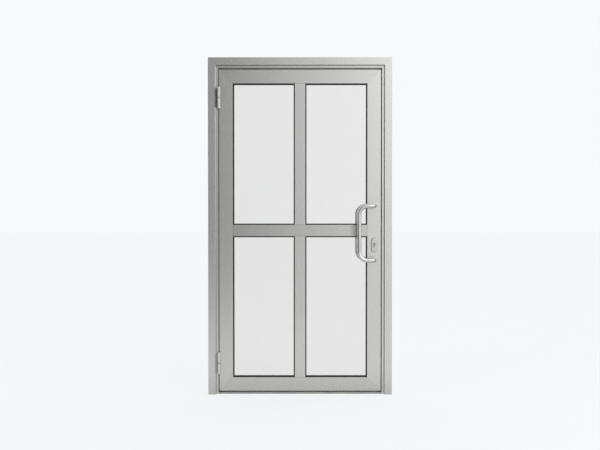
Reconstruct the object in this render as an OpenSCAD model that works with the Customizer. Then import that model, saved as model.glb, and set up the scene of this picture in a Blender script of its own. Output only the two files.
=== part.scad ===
// Aluminium entrance door in its frame: four double-glazed lights, pull handles and a cylinder lock.
// Millimetres. X runs to the right, Y away from the street side, Z up.
// The origin is on the floor, at the middle of the width and of the leaf's thickness.

/* [Frame] */
// Overall width of the frame
frame_w = 1200; // [1000:10:1400]
// Overall height of the frame
frame_h = 2200; // [2050:10:2400]
// Width of the proud outer face of the frame
casing_face = 48; // [42:1:60]
// Width of the stepped-back lip between the outer face and the leaf
lip_face = 17; // [14:1:24]
// How far the outer face stands proud of the leaf
casing_proud = 25; // [18:1:35]
// How far the stop reaches past the rebate wall, behind the leaf
stop_lap = 22; // [20:1:28]
// Depth of the stop
stop_d = 20; // [16:1:28]
// Space between the leaf and the stop, filled by the seal
seal_gap = 5; // [4:0.5:8]
// Wall thickness of the frame extrusions
frame_wall = 2; // [1.6:0.1:2.4]
// Height of the threshold
sill_h = 12; // [10:1:18]

/* [Leaf] */
// Thickness of the leaf
leaf_d = 50; // [48:1:62]
// Gap between the leaf and each jamb
side_gap = 6; // [6:0.5:8]
// Gap between the leaf and the head
top_gap = 12; // [6:1:13]
// Gap between the leaf and the threshold
bottom_gap = 8; // [6:1:12]
// Face width of the stiles and of the top and bottom rails
stile_face = 89; // [84:1:105]
// Face width of the middle rail
mid_rail_face = 74; // [64:1:100]
// Height of the middle rail's centre line
mid_rail_z = 1073; // [950:1:1150]
// Face width of the mullions
mullion_face = 68; // [62:1:90]
// Wall thickness of the leaf extrusions
leaf_wall = 2; // [1.6:0.1:2.4]
// Width of the glazing lip on every leaf extrusion
glass_lip = 22; // [20:1:26]
// Thickness of the glazing lip
lip_t = 2.5; // [2:0.1:3]

/* [Glazing] */
// Thickness of one pane
pane_t = 4; // [3:0.5:5]
// Cavity between the two panes of a unit
cavity = 16; // [12:1:18]
// Thickness of the outer gasket
outer_gasket_t = 5; // [4.5:0.5:6]
// Thickness of the inner gasket
inner_gasket_t = 4; // [3:0.5:5]
// How far each gasket shows past the lip or the bead
gasket_nose = 8; // [4:0.5:9]
// Clearance from the edge of a glass unit to the rebate floor
glass_clear = 5; // [4:0.5:6]

/* [Hinges] */
// Diameter of the hinge barrels
barrel_d = 22; // [18:1:24]
// Height of a hinge
barrel_h = 140; // [110:2:180]
// Distance from the leaf's end to a hinge's centre
hinge_inset = 184; // [140:2:300]
// Diameter of the hinge pins
hinge_pin_d = 10; // [8:0.5:12]
// Thickness of the hinge flags
flag_t = 2.5; // [2:0.1:2.6]

/* [Handles] */
// Diameter of the handle tube
tube_d = 30; // [25:1:36]
// Wall of the handle tube
tube_wall = 2; // [1.5:0.1:3]
// Distance between a handle's two fixing points
handle_centres = 354; // [300:1:400]
// Height of the handle's middle
handle_z = 1057; // [1030:1:1080]
// Sideways offset from the fixing points to the grip
handle_offset = 102; // [96:1:130]
// Distance from the leaf's face to the middle of the grip
handle_standoff = 58; // [50:1:75]
// Bend radius at the grip's ends
grip_bend_r = 55; // [45:1:60]
// Bend radius where the tube turns in to the leaf
mount_bend_r = 32; // [25:1:35]

/* [Lock] */
// Height of the key cylinder
key_z = 985; // [970:1:1000]
// Width of an escutcheon
escutcheon_w = 38; // [34:1:44]
// Height of an escutcheon
escutcheon_h = 90; // [80:1:110]
// Thickness of an escutcheon
escutcheon_t = 7; // [5:0.5:10]
// Height of the deadbolt
bolt_h = 30; // [24:1:34]
// Thickness of the deadbolt
bolt_t = 12; // [10:0.5:13]
// Throw of the deadbolt
bolt_throw = 20; // [14:1:22]
// Diameter of the latch roller
roller_d = 14; // [12:0.5:14.5]

/* [Fixings] */
// Diameter of the wall fixing holes through the jambs
fixing_d = 8.5; // [6:0.5:10]
// Distance from a hinge's centre to the nearest wall fixing
fixing_inset = 170; // [120:5:250]
// Shank diameter of the countersunk screws
screw_d = 4.2; // [3.5:0.1:4.8]

/* [Hidden] */
$fn = 64;

// Colours of the finishes
ALUMINIUM = [0.72, 0.73, 0.71];
STAINLESS = [0.80, 0.80, 0.79];
ZINC = [0.62, 0.64, 0.66];
BRASS = [0.78, 0.66, 0.36];
NICKEL = [0.75, 0.73, 0.69];
RUBBER = [0.06, 0.06, 0.07];
NYLON = [0.16, 0.16, 0.17];
GLASS = [0.80, 0.88, 0.87, 0.35];

// Clearances
past = 1;            // overshoot of a cut past the face that it opens
fit = 0.2;           // clearance of a piece that is slid or set into place
hairline = 0.1;      // joint left between two cut bars
running = 0.05;      // radial clearance of a turning fit
soft_gap = 0.3;      // space left between a soft piece and a moving one
arris_r = 1.2;       // small radius on the outer edges of the extrusions

// Frame sections: p runs inwards from the outer edge, q backwards from the front
rebate_p = casing_face + lip_face;
stop_p = rebate_p + stop_lap;
stop_q = casing_proud + leaf_d + seal_gap;
frame_d = stop_q + stop_d;
frame_front = -leaf_d / 2 - casing_proud;
rebate_x = frame_w / 2 - rebate_p;
stop_x = frame_w / 2 - stop_p;
stop_y = frame_front + stop_q;

// Hardware groove, the same in the rebate wall and in the edge of the leaf
groove_w = 24;
groove_depth = 3;
land_y = leaf_d / 4 + groove_w / 4;

// Seal groove in the face of the stop
seal_w = 4;
seal_root = 3.5;
seal_base = 1;
seal_inset = 5;
seal_p = stop_p - seal_inset;

// Rib of the rebate wall that the clip-on stop snaps over
stop_chamber_q = stop_q + seal_root + frame_wall;
stop_rib_l = 3;
stop_rib_t = 2;
stop_rib_q = (stop_chamber_q + frame_d - frame_wall - stop_rib_t) / 2;

// Leaf: u runs inwards from the leaf's edge, v backwards from its face
leaf_w = 2 * (rebate_x - side_gap);
leaf_bottom = sill_h + bottom_gap;
leaf_top = frame_h - rebate_p - top_gap;
leaf_h = leaf_top - leaf_bottom;
leaf_mid_z = (leaf_top + leaf_bottom) / 2;
leaf_x = leaf_w / 2;
leaf_front = -leaf_d / 2;
stile_box = stile_face - glass_lip;
mid_rail_box = mid_rail_face - 2 * glass_lip;
mullion_box = mullion_face - 2 * glass_lip;

// Glazing rebate, from front to back
fin_w = 1.5;
fin_h = 2;
glass_v = lip_t + outer_gasket_t;
inner_pane_v = glass_v + pane_t + cavity;
glass_back_v = inner_pane_v + pane_t;
bead_v = glass_back_v + inner_gasket_t;
bead_d = leaf_d - bead_v;
bead_wall = 1.3;
bead_r = 3;
rib_l = 3;
rib_t = 2;
rib_v = bead_v + bead_d / 2 - rib_t / 2;
gasket_root = 10;
gasket_edge = 1;
spacer_w = 7;
spacer_inset = 4;
block_l = 100;

// Bays between the leaf's bars, measured to the rebate floors
bay_w = leaf_x - stile_box - mullion_box / 2;
bay_x = mullion_box / 2 + bay_w / 2;
upper_bay_h = leaf_top - stile_box - mid_rail_z - mid_rail_box / 2;
lower_bay_h = mid_rail_z - mid_rail_box / 2 - leaf_bottom - stile_box;
upper_bay_z = mid_rail_z + mid_rail_box / 2 + upper_bay_h / 2;
lower_bay_z = leaf_bottom + stile_box + lower_bay_h / 2;
COLUMNS = [-1, 1];
ROWS = [-1, 1];

// Corner cleats and tee connectors
cleat_arm = 110;
cleat_web = 5;
connector_l = 40;
connector_bore = 6;

// Hinges
barrel_r = barrel_d / 2;
barrel_gap = 0.5;
hinge_x = -rebate_x + side_gap / 2;
hinge_y = leaf_front - barrel_r - barrel_gap;
washer_t = 1;
hinge_zs = [leaf_bottom + hinge_inset, leaf_top - hinge_inset];
knuckle_h = barrel_h / 2 - washer_t / 2;
knuckle_r = 2;
knuckle_bevel = 0.6;
knuckle_lap = 1;
pin_share = 0.7;
pin_grip = knuckle_h * pin_share;
flag_front = leaf_front + barrel_gap;
flag_back = leaf_d / 2 - arris_r;
flag_screw_inset = 25;
flag_screw_dz = barrel_h / 2 - flag_screw_inset;

// Screws
head_ratio = 1.9;
screw_head_d = screw_d * head_ratio;
screw_head_h = (screw_head_d - screw_d) / 2;
screw_l = 14;
pan_ratio = 1.8;
pan_head_d = screw_d * pan_ratio;
pan_head_h = 2.4;

// Threshold
sill_plate = 2.5;
sill_rib_t = 2.5;
sill_edge_r = 2;
sill_back = frame_front + frame_d;
sill_d = sill_back - leaf_front;
port_d = 8;
port_z = sill_h / 2;
port_ys = [-land_y, land_y];
tread_groove = 2;
tread_pitch = 6;
tread_count = 7;
tread_depth = 0.8;
sill_screw_l = 24;

// Wall fixings
access_d = 12;
cap_d = 15;
cap_t = 1.2;
cap_plug = 4;
fixing_y = (groove_w / 2 + leaf_d / 2 + seal_gap) / 2;
fixing_low = hinge_zs[0] + fixing_inset;
fixing_high = hinge_zs[1] - fixing_inset;
FIXING_ZS = [for (i = [0:3]) fixing_low + (fixing_high - fixing_low) * i / 3];

// Handles
handle_x = leaf_x - stile_face / 2;
tube_r = tube_d / 2;
grip_x = handle_x - handle_offset;
handle_y = leaf_front - handle_standoff;
handle_top = handle_z + handle_centres / 2;
handle_low = handle_z - handle_centres / 2;
stud_d = 8;
stud_grip = 16;
plug_l = 20;

// Lock, with heights measured from the key cylinder
key_x = handle_x;
euro_r = 8.5;
euro_lobe_r = 5;
euro_drop = 19.5;
euro_mid = (euro_r - euro_drop - euro_lobe_r) / 2;
cylinder_proud = 1;
cylinder_l = leaf_d + 2 * escutcheon_t + 2 * cylinder_proud;
key_plug_r = 6.5;
keyway_w = 2.2;
keyway_h = 8.6;
keyway_l = 18;
keyway_drop = 1;
cam_t = 9.6;
cam_r = 14;
cam_hub_r = 8.2;
cam_lug_w = 7;
cam_slot = cam_t + 2 * fit;
bridge_z = key_z - cam_r - 2 * soft_gap;
rim_ratio = 0.7;
escutcheon_r = escutcheon_t * rim_ratio;
groove_x = leaf_x - groove_depth;
plate_w = groove_w - 2 * fit;
case_t = 18;
case_wall = 1.5;
case_room = 3;
case_below = 45;
case_above = 110;
case_back = key_x - cam_r - case_room;
case_low = key_z - case_below;
case_high = key_z + case_above;
faceplate_lap = 30;
faceplate_low = case_low - faceplate_lap;
faceplate_high = case_high + faceplate_lap;
plate_screw_inset = 12;
bolt_room = 2;
bolt_z = key_z + cam_r + bolt_room + bolt_h / 2;
bolt_l = 40;
latch_rise = 40;
latch_z = bolt_z + bolt_h / 2 + latch_rise;
roller_r = roller_d / 2;
roller_h = 14;
roller_pin_r = 1.5;
roller_bite = 2;
roller_reach = side_gap + roller_bite;
latch_travel = roller_reach;
roller_x = leaf_x + roller_reach - roller_r;
ear_t = 2.7;
ear_end = 3;
latch_h = roller_h + 2 * ear_t + 2 * fit;
latch_t = 12;
latch_l = 20;
latch_back = roller_x - roller_r - latch_l;
latch_rod_r = 3;
spring_r = 4.5;
spring_wire = 1.2;
spring_turns = 7;
spring_steps = 14;
spring_sides = 6;
strike_lap = 45;
strike_low = bolt_z - bolt_h / 2 - strike_lap;
strike_high = latch_z + latch_h / 2 + strike_lap;
pocket_play = 2;
pocket_room = 3;
pocket_x = leaf_x + bolt_throw + pocket_room;

// Rounds off a corner at p whose material lies in the quadrant that starts at turn
module arris(p, r, turn) {
    translate(p)
        rotate(turn)
            difference() {
                translate([-past, -past])
                    square(r + past);
                translate([r, r])
                    circle(r);
            }
}

// A bar along X with its outer edge on Z = 0 and its section's u upwards, mitred or square at each end
module bar(len, reach, mitre_start = true, mitre_end = true, gap = 0) {
    start = mitre_start ? reach : 0;
    end = mitre_end ? reach : 0;
    half = len / 2 - gap;
    intersection() {
        rotate([0, -90, 0])
            linear_extrude(height = len + 2 * past, center = true)
                children();
        rotate([90, 0, 0])
            linear_extrude(height = 4 * frame_d, center = true)
                polygon([[-half, 0], [half, 0], [half - end, reach], [start - half, reach]]);
    }
}

// Turns a bar so that its section's u runs to the right, to the left or down
module facing_right() { rotate([0, 90, 0]) children(); }
module facing_left() { rotate([0, -90, 0]) children(); }
module facing_down() { rotate([0, 180, 0]) children(); }

// Four bars round an opening of w by h, each with the same section
module ring(w, h, reach, gap = 0) {
    translate([0, 0, -h / 2])
        bar(w, reach, gap = gap)
            children();
    translate([0, 0, h / 2])
        facing_down()
            bar(w, reach, gap = gap)
                children();
    translate([-w / 2, 0, 0])
        facing_right()
            bar(h, reach, gap = gap)
                children();
    translate([w / 2, 0, 0])
        facing_left()
            bar(h, reach, gap = gap)
                children();
}

// A cylinder along X from x0 to x1
module rod_x(x0, x1, r) {
    translate([x0, 0, 0])
        rotate([0, 90, 0])
            cylinder(h = x1 - x0, r = r);
}

// A countersunk screw along +X, with its head's face at the origin; play widens it into its hole
module screw(play = 0) {
    rotate([0, 90, 0])
        rotate_extrude()
            polygon([
                [0, -past * sign(play)], [screw_head_d / 2 + play, -past * sign(play)],
                [screw_head_d / 2 + play, 0], [screw_d / 2 + play, screw_head_h],
                [screw_d / 2 + play, screw_l], [0, screw_l]
            ]);
}

// A hollow corner cleat in the plane of the frame, from its inner corner at a to its outer flank at b
module cleat(a, b, depth) {
    rotate([90, 0, 0])
        linear_extrude(height = depth, center = true)
            difference() {
                cleat_outline(a, b, cleat_arm);
                cleat_outline(a + cleat_web, b - cleat_web, cleat_arm - cleat_web);
            }
}

module cleat_outline(a, b, arm) {
    polygon([[a, a], [arm, a], [arm, b], [b, b], [b, arm], [a, arm]]);
}

// Outer frame

module frame_profile() {
    web = casing_face - frame_wall;
    groove_q = casing_proud + leaf_d / 2 - groove_w / 2;
    difference() {
        polygon([
            [0, 0], [casing_face, 0], [casing_face, casing_proud], [rebate_p, casing_proud],
            [rebate_p, stop_rib_q], [rebate_p + stop_rib_l, stop_rib_q],
            [rebate_p + stop_rib_l, stop_rib_q + stop_rib_t], [rebate_p, stop_rib_q + stop_rib_t],
            [rebate_p, frame_d], [0, frame_d]
        ]);
        arris([0, 0], arris_r, 0);
        arris([casing_face, 0], arris_r, 90);
        arris([rebate_p, casing_proud], arris_r, 90);
        arris([0, frame_d], arris_r, 270);
        translate([rebate_p - groove_depth, groove_q])
            square([groove_depth + past, groove_w]);
        // outer chamber
        translate([frame_wall, frame_wall])
            square([web - frame_wall, frame_d - 2 * frame_wall]);
        // chamber behind the lip, round the hardware groove
        difference() {
            translate([casing_face, casing_proud + frame_wall])
                square([lip_face - frame_wall, frame_d - casing_proud - 2 * frame_wall]);
            translate([rebate_p - groove_depth - frame_wall, groove_q - frame_wall])
                square([groove_depth + frame_wall + past, groove_w + 2 * frame_wall]);
        }
    }
}

// Hollow stop, slotted where it snaps over the rib of the rebate wall, with the groove of the seal
module stop_profile() {
    difference() {
        translate([rebate_p + hairline, stop_q])
            square([stop_lap - hairline, stop_d]);
        arris([stop_p, stop_q], arris_r, 90);
        arris([stop_p, frame_d], arris_r, 180);
        translate([seal_p - seal_w / 2, stop_q - past])
            square([seal_w, seal_root + past]);
        translate([rebate_p + frame_wall, stop_chamber_q])
            square([stop_lap - 2 * frame_wall, frame_d - frame_wall - stop_chamber_q]);
        translate([rebate_p - past, stop_rib_q - fit])
            square([stop_rib_l + fit + past, stop_rib_t + 2 * fit]);
    }
}

// Places a bar of the frame's depth along the left side, the right side or the head
module at_hinge_side() {
    translate([-frame_w / 2, frame_front, frame_h / 2]) facing_right() children();
}

module at_lock_side() {
    translate([frame_w / 2, frame_front, frame_h / 2]) facing_left() children();
}

module at_head() {
    translate([0, frame_front, frame_h]) facing_down() children();
}

// Holes for the wall fixings of one jamb, drilled from inside the rebate towards its outer wall
module fixing_holes(side) {
    for (z = FIXING_ZS)
        translate([0, fixing_y, z])
            mirror([side < 0 ? 1 : 0, 0, 0]) {
                rod_x(rebate_x - past, frame_w / 2 - frame_wall - past, access_d / 2);
                rod_x(rebate_x, frame_w / 2 + past, fixing_d / 2);
            }
}

module sill_screw_holes(side) {
    for (y = port_ys)
        translate([0, y, port_z])
            mirror([side < 0 ? 1 : 0, 0, 0])
                rod_x(rebate_x - past, rebate_x + frame_wall + past, screw_d / 2 + running);
}

module hinge_jamb() {
    color(ALUMINIUM)
        difference() {
            at_hinge_side()
                bar(frame_h, rebate_p + stop_rib_l, mitre_end = false)
                    frame_profile();
            fixing_holes(-1);
            sill_screw_holes(-1);
            each_hinge()
                frame_flag_screws(running);
        }
}

module lock_jamb() {
    color(ALUMINIUM)
        difference() {
            at_lock_side()
                bar(frame_h, rebate_p + stop_rib_l, mitre_start = false)
                    frame_profile();
            fixing_holes(1);
            sill_screw_holes(1);
            strike_pockets(pocket_play);
            strike_screw_set(running);
        }
}

module head() {
    color(ALUMINIUM)
        at_head()
            bar(frame_w, rebate_p + stop_rib_l)
                frame_profile();
}

module door_stops() {
    color(ALUMINIUM) {
        at_hinge_side()
            bar(frame_h, stop_p, mitre_end = false, gap = hairline)
                stop_profile();
        at_lock_side()
            bar(frame_h, stop_p, mitre_start = false, gap = hairline)
                stop_profile();
        at_head()
            bar(frame_w, stop_p, gap = hairline)
                stop_profile();
    }
}

module frame_cleats() {
    color(ZINC)
        for (side = COLUMNS)
            translate([side * frame_w / 2, frame_front + frame_d / 2, frame_h])
                mirror([side > 0 ? 1 : 0, 0, 0])
                    mirror([0, 0, 1])
                        cleat(frame_wall + fit, casing_face - frame_wall - fit, frame_d - 2 * (frame_wall + fit));
}

module seal_profile() {
    bulb_r = (seal_gap - soft_gap) / 2;
    translate([seal_p, stop_q - bulb_r])
        difference() {
            circle(bulb_r);
            circle(bulb_r / 2);
        }
    translate([seal_p - seal_w / 2 - seal_base, stop_q - seal_base])
        square([seal_w + 2 * seal_base, seal_base]);
    translate([seal_p - seal_w / 2 + hairline, stop_q - seal_base])
        square([seal_w - 2 * hairline, seal_root + seal_base - hairline]);
}

module stop_seal() {
    side_l = frame_h - sill_h - soft_gap;
    color(RUBBER) {
        translate([0, 0, (sill_h + soft_gap) / 2]) {
            at_hinge_side()
                bar(side_l, stop_p, mitre_end = false)
                    seal_profile();
            at_lock_side()
                bar(side_l, stop_p, mitre_start = false)
                    seal_profile();
        }
        at_head()
            bar(frame_w, stop_p)
                seal_profile();
    }
}

module sill_profile() {
    difference() {
        square([sill_d, sill_h]);
        arris([0, sill_h], sill_edge_r, 270);
        arris([sill_d, sill_h], sill_edge_r, 180);
        for (i = [0:tread_count - 1])
            translate([sill_d / 2 + (i - (tread_count - 1) / 2) * tread_pitch - tread_groove / 2,
                       sill_h - tread_depth])
                square([tread_groove, tread_depth + past]);
        difference() {
            translate([sill_rib_t, -past])
                square([sill_d - 2 * sill_rib_t, sill_h - sill_plate + past]);
            for (y = port_ys)
                translate([y - leaf_front - port_d / 2, 0])
                    square([port_d, sill_h]);
        }
        for (y = port_ys)
            translate([y - leaf_front, port_z])
                circle(screw_d / 2 + running);
    }
}

module threshold() {
    color(ALUMINIUM)
        difference() {
            translate([0, leaf_front, 0])
                rotate([90, 0, 90])
                    linear_extrude(height = 2 * (rebate_x - fit), center = true)
                        sill_profile();
            for (side = COLUMNS)
                mirror([side < 0 ? 1 : 0, 0, 0])
                    translate([stop_x - fit, stop_y - fit, -past])
                        cube([stop_lap + past, stop_d + fit + past, sill_h + 2 * past]);
        }
}

module threshold_screws() {
    color(ZINC)
        for (side = COLUMNS, y = port_ys)
            translate([0, y, port_z])
                mirror([side < 0 ? 1 : 0, 0, 0]) {
                    rod_x(rebate_x + frame_wall - sill_screw_l, rebate_x + frame_wall, screw_d / 2);
                    rod_x(rebate_x + frame_wall, rebate_x + frame_wall + pan_head_h, pan_head_d / 2);
                }
}

module fixing_caps() {
    color(NYLON)
        for (side = COLUMNS, z = FIXING_ZS)
            translate([0, fixing_y, z])
                mirror([side < 0 ? 1 : 0, 0, 0]) {
                    rod_x(rebate_x - cap_t, rebate_x, cap_d / 2);
                    rod_x(rebate_x, rebate_x + cap_plug, access_d / 2 - hairline);
                }
}

// Strike plate of the lock, in the hardware groove of the jamb

module strike_pockets(play) {
    x = rebate_x - past;
    for (hole = [[bolt_z, bolt_h, bolt_t], [latch_z, latch_h, roller_d]])
        translate([x, -hole[2] / 2 - play, hole[0] - hole[1] / 2 - play])
            cube([pocket_x - x, hole[2] + 2 * play, hole[1] + 2 * play]);
}

module strike_screw_set(play = 0) {
    for (z = [strike_low + plate_screw_inset, strike_high - plate_screw_inset])
        translate([rebate_x, 0, z])
            screw(play);
}

// A flat bar with round ends, x0 to x0 + t thick, standing between two heights
module round_plate(x0, t, w, low, high) {
    translate([x0, 0, 0])
        rotate([90, 0, 90])
            linear_extrude(height = t) {
                translate([-w / 2, low + w / 2])
                    square([w, high - low - w]);
                for (z = [low + w / 2, high - w / 2])
                    translate([0, z])
                        circle(w / 2);
            }
}

module strike_plate() {
    color(STAINLESS)
        difference() {
            round_plate(rebate_x, groove_depth, plate_w, strike_low, strike_high);
            strike_pockets(pocket_play / 2);
            strike_screw_set(running);
        }
}

module strike_screws() {
    color(ZINC)
        strike_screw_set();
}

// Hinges: the lower knuckle and the pin belong to the frame, the upper knuckle to the leaf

module each_hinge() {
    for (z = hinge_zs)
        translate([0, 0, z])
            children();
}

module flag_screw_places() {
    for (y = [-land_y, land_y], z = [-flag_screw_dz, flag_screw_dz])
        translate([0, y, z])
            children();
}

module frame_flag_screws(play = 0) {
    flag_screw_places()
        translate([flag_t - rebate_x, 0, 0])
            mirror([1, 0, 0])
                screw(play);
}

module leaf_flag_screws(play = 0) {
    flag_screw_places()
        translate([-leaf_x - flag_t, 0, 0])
            screw(play);
}

// A knuckle that stands on Z = 0, rounded at its closed top end
module knuckle(bore) {
    translate([hinge_x, hinge_y, washer_t / 2])
        rotate_extrude()
            difference() {
                square([barrel_r, knuckle_h]);
                arris([barrel_r, knuckle_h], knuckle_r, 180);
                translate([barrel_r, 0])
                    rotate(45)
                        square(knuckle_bevel * sqrt(2), center = true);
                translate([-past, -past])
                    square([bore + past, pin_grip + fit + past]);
            }
}

// A flag from x0 to x0 + flag_t: the whole height behind the barrel, the knuckle's half up to the barrel
module flag_plate(x0) {
    translate([x0, flag_front, -barrel_h / 2])
        cube([flag_t, flag_back - flag_front, barrel_h]);
    difference() {
        translate([x0, hinge_y, washer_t / 2 + knuckle_bevel])
            cube([flag_t, flag_back - hinge_y, knuckle_h - knuckle_r - knuckle_bevel]);
        translate([hinge_x, hinge_y, 0])
            cylinder(h = barrel_h, r = barrel_r - knuckle_lap, center = true);
    }
}

module frame_flag(z) {
    translate([0, 0, z])
        difference() {
            mirror([0, 0, 1]) {
                knuckle(hinge_pin_d / 2);
                flag_plate(-rebate_x);
            }
            frame_flag_screws(running);
        }
}

module leaf_flag(z) {
    translate([0, 0, z])
        difference() {
            union() {
                knuckle(hinge_pin_d / 2 + running);
                flag_plate(-leaf_x - flag_t);
            }
            leaf_flag_screws(running);
        }
}

module bottom_hinge_frame_flag() { color(ALUMINIUM) frame_flag(hinge_zs[0]); }
module top_hinge_frame_flag() { color(ALUMINIUM) frame_flag(hinge_zs[1]); }
module bottom_hinge_leaf_flag() { color(ALUMINIUM) leaf_flag(hinge_zs[0]); }
module top_hinge_leaf_flag() { color(ALUMINIUM) leaf_flag(hinge_zs[1]); }

module hinge_pins() {
    color(ZINC)
        each_hinge()
            translate([hinge_x, hinge_y, 0])
                cylinder(h = 2 * pin_grip + washer_t, d = hinge_pin_d, center = true);
}

module hinge_washers() {
    color(BRASS)
        each_hinge()
            translate([hinge_x, hinge_y, 0])
                difference() {
                    cylinder(h = washer_t, r = barrel_r - knuckle_bevel, center = true);
                    cylinder(h = washer_t + 2 * past, d = hinge_pin_d + 2 * running, center = true);
                }
}

module hinge_frame_screws() {
    color(ZINC)
        each_hinge()
            frame_flag_screws();
}

module hinge_leaf_screws() {
    color(ZINC)
        each_hinge()
            leaf_flag_screws();
}

// Leaf: mitred stiles and rails, with a middle rail and two mullions butted between them

// Hook of the glazing lip, at u
module lip_fin(u) {
    translate([u, lip_t - lip_t / 2])
        square([fin_w, fin_h + lip_t / 2]);
}

module stile_profile() {
    groove_v = leaf_d / 2 - groove_w / 2;
    difference() {
        union() {
            polygon([
                [0, 0], [stile_face, 0], [stile_face, lip_t], [stile_box, lip_t],
                [stile_box, leaf_d], [0, leaf_d]
            ]);
            lip_fin(stile_face - fin_w);
            translate([stile_box - leaf_wall, rib_v])
                square([leaf_wall + rib_l, rib_t]);
        }
        arris([0, 0], arris_r, 0);
        arris([0, leaf_d], arris_r, 270);
        translate([-past, groove_v])
            square([groove_depth + past, groove_w]);
        difference() {
            translate([leaf_wall, leaf_wall])
                square([stile_box - 2 * leaf_wall, leaf_d - 2 * leaf_wall]);
            translate([0, groove_v - leaf_wall])
                square([groove_depth + leaf_wall, groove_w + 2 * leaf_wall]);
        }
    }
}

module tee_profile(face) {
    box = face - 2 * glass_lip;
    difference() {
        union() {
            translate([-face / 2, 0])
                square([face, lip_t]);
            translate([-box / 2, 0])
                square([box, leaf_d]);
            lip_fin(-face / 2);
            lip_fin(face / 2 - fin_w);
            translate([-box / 2 - rib_l, rib_v])
                square([box + 2 * rib_l, rib_t]);
        }
        translate([leaf_wall - box / 2, leaf_wall])
            square([box - 2 * leaf_wall, leaf_d - 2 * leaf_wall]);
    }
}

// Breaks in the lip fins of a bar where a cross bar meets it
module fin_break(x, z, half_x, half_z) {
    translate([x - half_x, leaf_front + lip_t, z - half_z])
        cube([2 * half_x, fin_h + past, 2 * half_z]);
}

module stile_fin_breaks() {
    for (side = COLUMNS)
        fin_break(side * (leaf_x - stile_face + fin_w / 2), mid_rail_z, fin_w, mid_rail_face / 2 - fin_w);
}

module rail_fin_breaks() {
    low = leaf_bottom + stile_face - fin_w / 2;
    high = leaf_top - stile_face + fin_w / 2;
    mid = mid_rail_face / 2 - fin_w / 2;
    for (z = [low, mid_rail_z - mid, mid_rail_z + mid, high])
        fin_break(0, z, mullion_face / 2 - fin_w, fin_w);
}

// A bar of tee section standing from z0 to z1, cut back at both ends to fit over lip and rib
module cross_bar(face, z0, z1) {
    lip_cut = glass_lip;
    rib_cut = rib_l + fit;
    module end_cut(depth, len) {
        for (z = [z0 - past, z1 - len])
            translate([-face / 2 - past, depth[0], z])
                cube([face + 2 * past, depth[1] - depth[0], len + past]);
    }
    difference() {
        translate([0, 0, z0])
            linear_extrude(height = z1 - z0)
                tee_profile(face);
        end_cut([-past, lip_t + fin_h + fit], lip_cut);
        end_cut([rib_v - fit, rib_v + rib_t + fit], rib_cut);
    }
}

module at_leaf() { translate([0, leaf_front, 0]) children(); }

module hinge_stile() {
    color(ALUMINIUM)
        difference() {
            translate([-leaf_x, leaf_front, leaf_mid_z])
                facing_right()
                    bar(leaf_h, stile_face)
                        stile_profile();
            each_hinge()
                leaf_flag_screws(running);
            stile_fin_breaks();
        }
}

module lock_stile() {
    color(ALUMINIUM)
        difference() {
            translate([leaf_x, leaf_front, leaf_mid_z])
                facing_left()
                    bar(leaf_h, stile_face)
                        stile_profile();
            translate([key_x, 0, key_z])
                euro_prism(2 * leaf_d, 2 * fit);
            translate([groove_x - 2 * leaf_wall, -case_t / 2 - fit, case_low - fit])
                cube([2 * leaf_wall + past, case_t + 2 * fit, case_high - case_low + 2 * fit]);
            faceplate_screw_set(running);
            handle_stud_set(stud_d / 2 + fit, 2 * leaf_d);
            stile_fin_breaks();
        }
}

module top_rail() {
    color(ALUMINIUM)
        difference() {
            translate([0, leaf_front, leaf_top])
                facing_down()
                    bar(leaf_w, stile_face)
                        stile_profile();
            rail_fin_breaks();
        }
}

module bottom_rail() {
    color(ALUMINIUM)
        difference() {
            translate([0, leaf_front, leaf_bottom])
                bar(leaf_w, stile_face)
                    stile_profile();
            rail_fin_breaks();
        }
}

module mid_rail() {
    half = leaf_x - stile_box - hairline;
    color(ALUMINIUM)
        difference() {
            translate([0, leaf_front, mid_rail_z])
                rotate([0, 90, 0])
                    cross_bar(mid_rail_face, -half, half);
            rail_fin_breaks();
        }
}

module upper_mullion() {
    color(ALUMINIUM)
        at_leaf()
            cross_bar(mullion_face, mid_rail_z + mid_rail_box / 2 + hairline, leaf_top - stile_box - hairline);
}

module lower_mullion() {
    color(ALUMINIUM)
        at_leaf()
            cross_bar(mullion_face, leaf_bottom + stile_box + hairline, mid_rail_z - mid_rail_box / 2 - hairline);
}

module leaf_cleats() {
    inner = groove_depth + leaf_wall + fit;
    color(ZINC)
        for (side = COLUMNS, row = ROWS)
            translate([side * leaf_x, 0, leaf_mid_z + row * leaf_h / 2])
                mirror([side > 0 ? 1 : 0, 0, 0])
                    mirror([0, 0, row > 0 ? 1 : 0])
                        cleat(inner, stile_box - leaf_wall - fit, leaf_d - 2 * (leaf_wall + fit));
}

// A drilled block that fills the end of a tee section's chamber, from z = 0 upwards, slotted over the rib
module connector(face) {
    w = face - 2 * glass_lip - 2 * (leaf_wall + fit);
    front = leaf_front + max(leaf_wall, lip_t) + fit;
    back = leaf_d / 2 - leaf_wall - fit;
    difference() {
        translate([-w / 2, front, 0])
            cube([w, back - front, connector_l]);
        translate([0, 0, -past])
            cylinder(h = connector_l + 2 * past, d = connector_bore);
        translate([-w / 2 - past, leaf_front + rib_v - fit, -past])
            cube([w + 2 * past, rib_t + 2 * fit, rib_l + fit + past]);
    }
}

module tee_connectors() {
    color(ZINC) {
        for (side = COLUMNS)
            translate([side * (leaf_x - stile_box - hairline), 0, mid_rail_z])
                rotate([0, -90 * side, 0])
                    connector(mid_rail_face);
        for (z = [leaf_bottom + stile_box + hairline, mid_rail_z + mid_rail_box / 2 + hairline])
            translate([0, 0, z])
                connector(mullion_face);
        for (z = [mid_rail_z - mid_rail_box / 2 - hairline, leaf_top - stile_box - hairline])
            translate([0, 0, z])
                mirror([0, 0, 1])
                    connector(mullion_face);
    }
}

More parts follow.
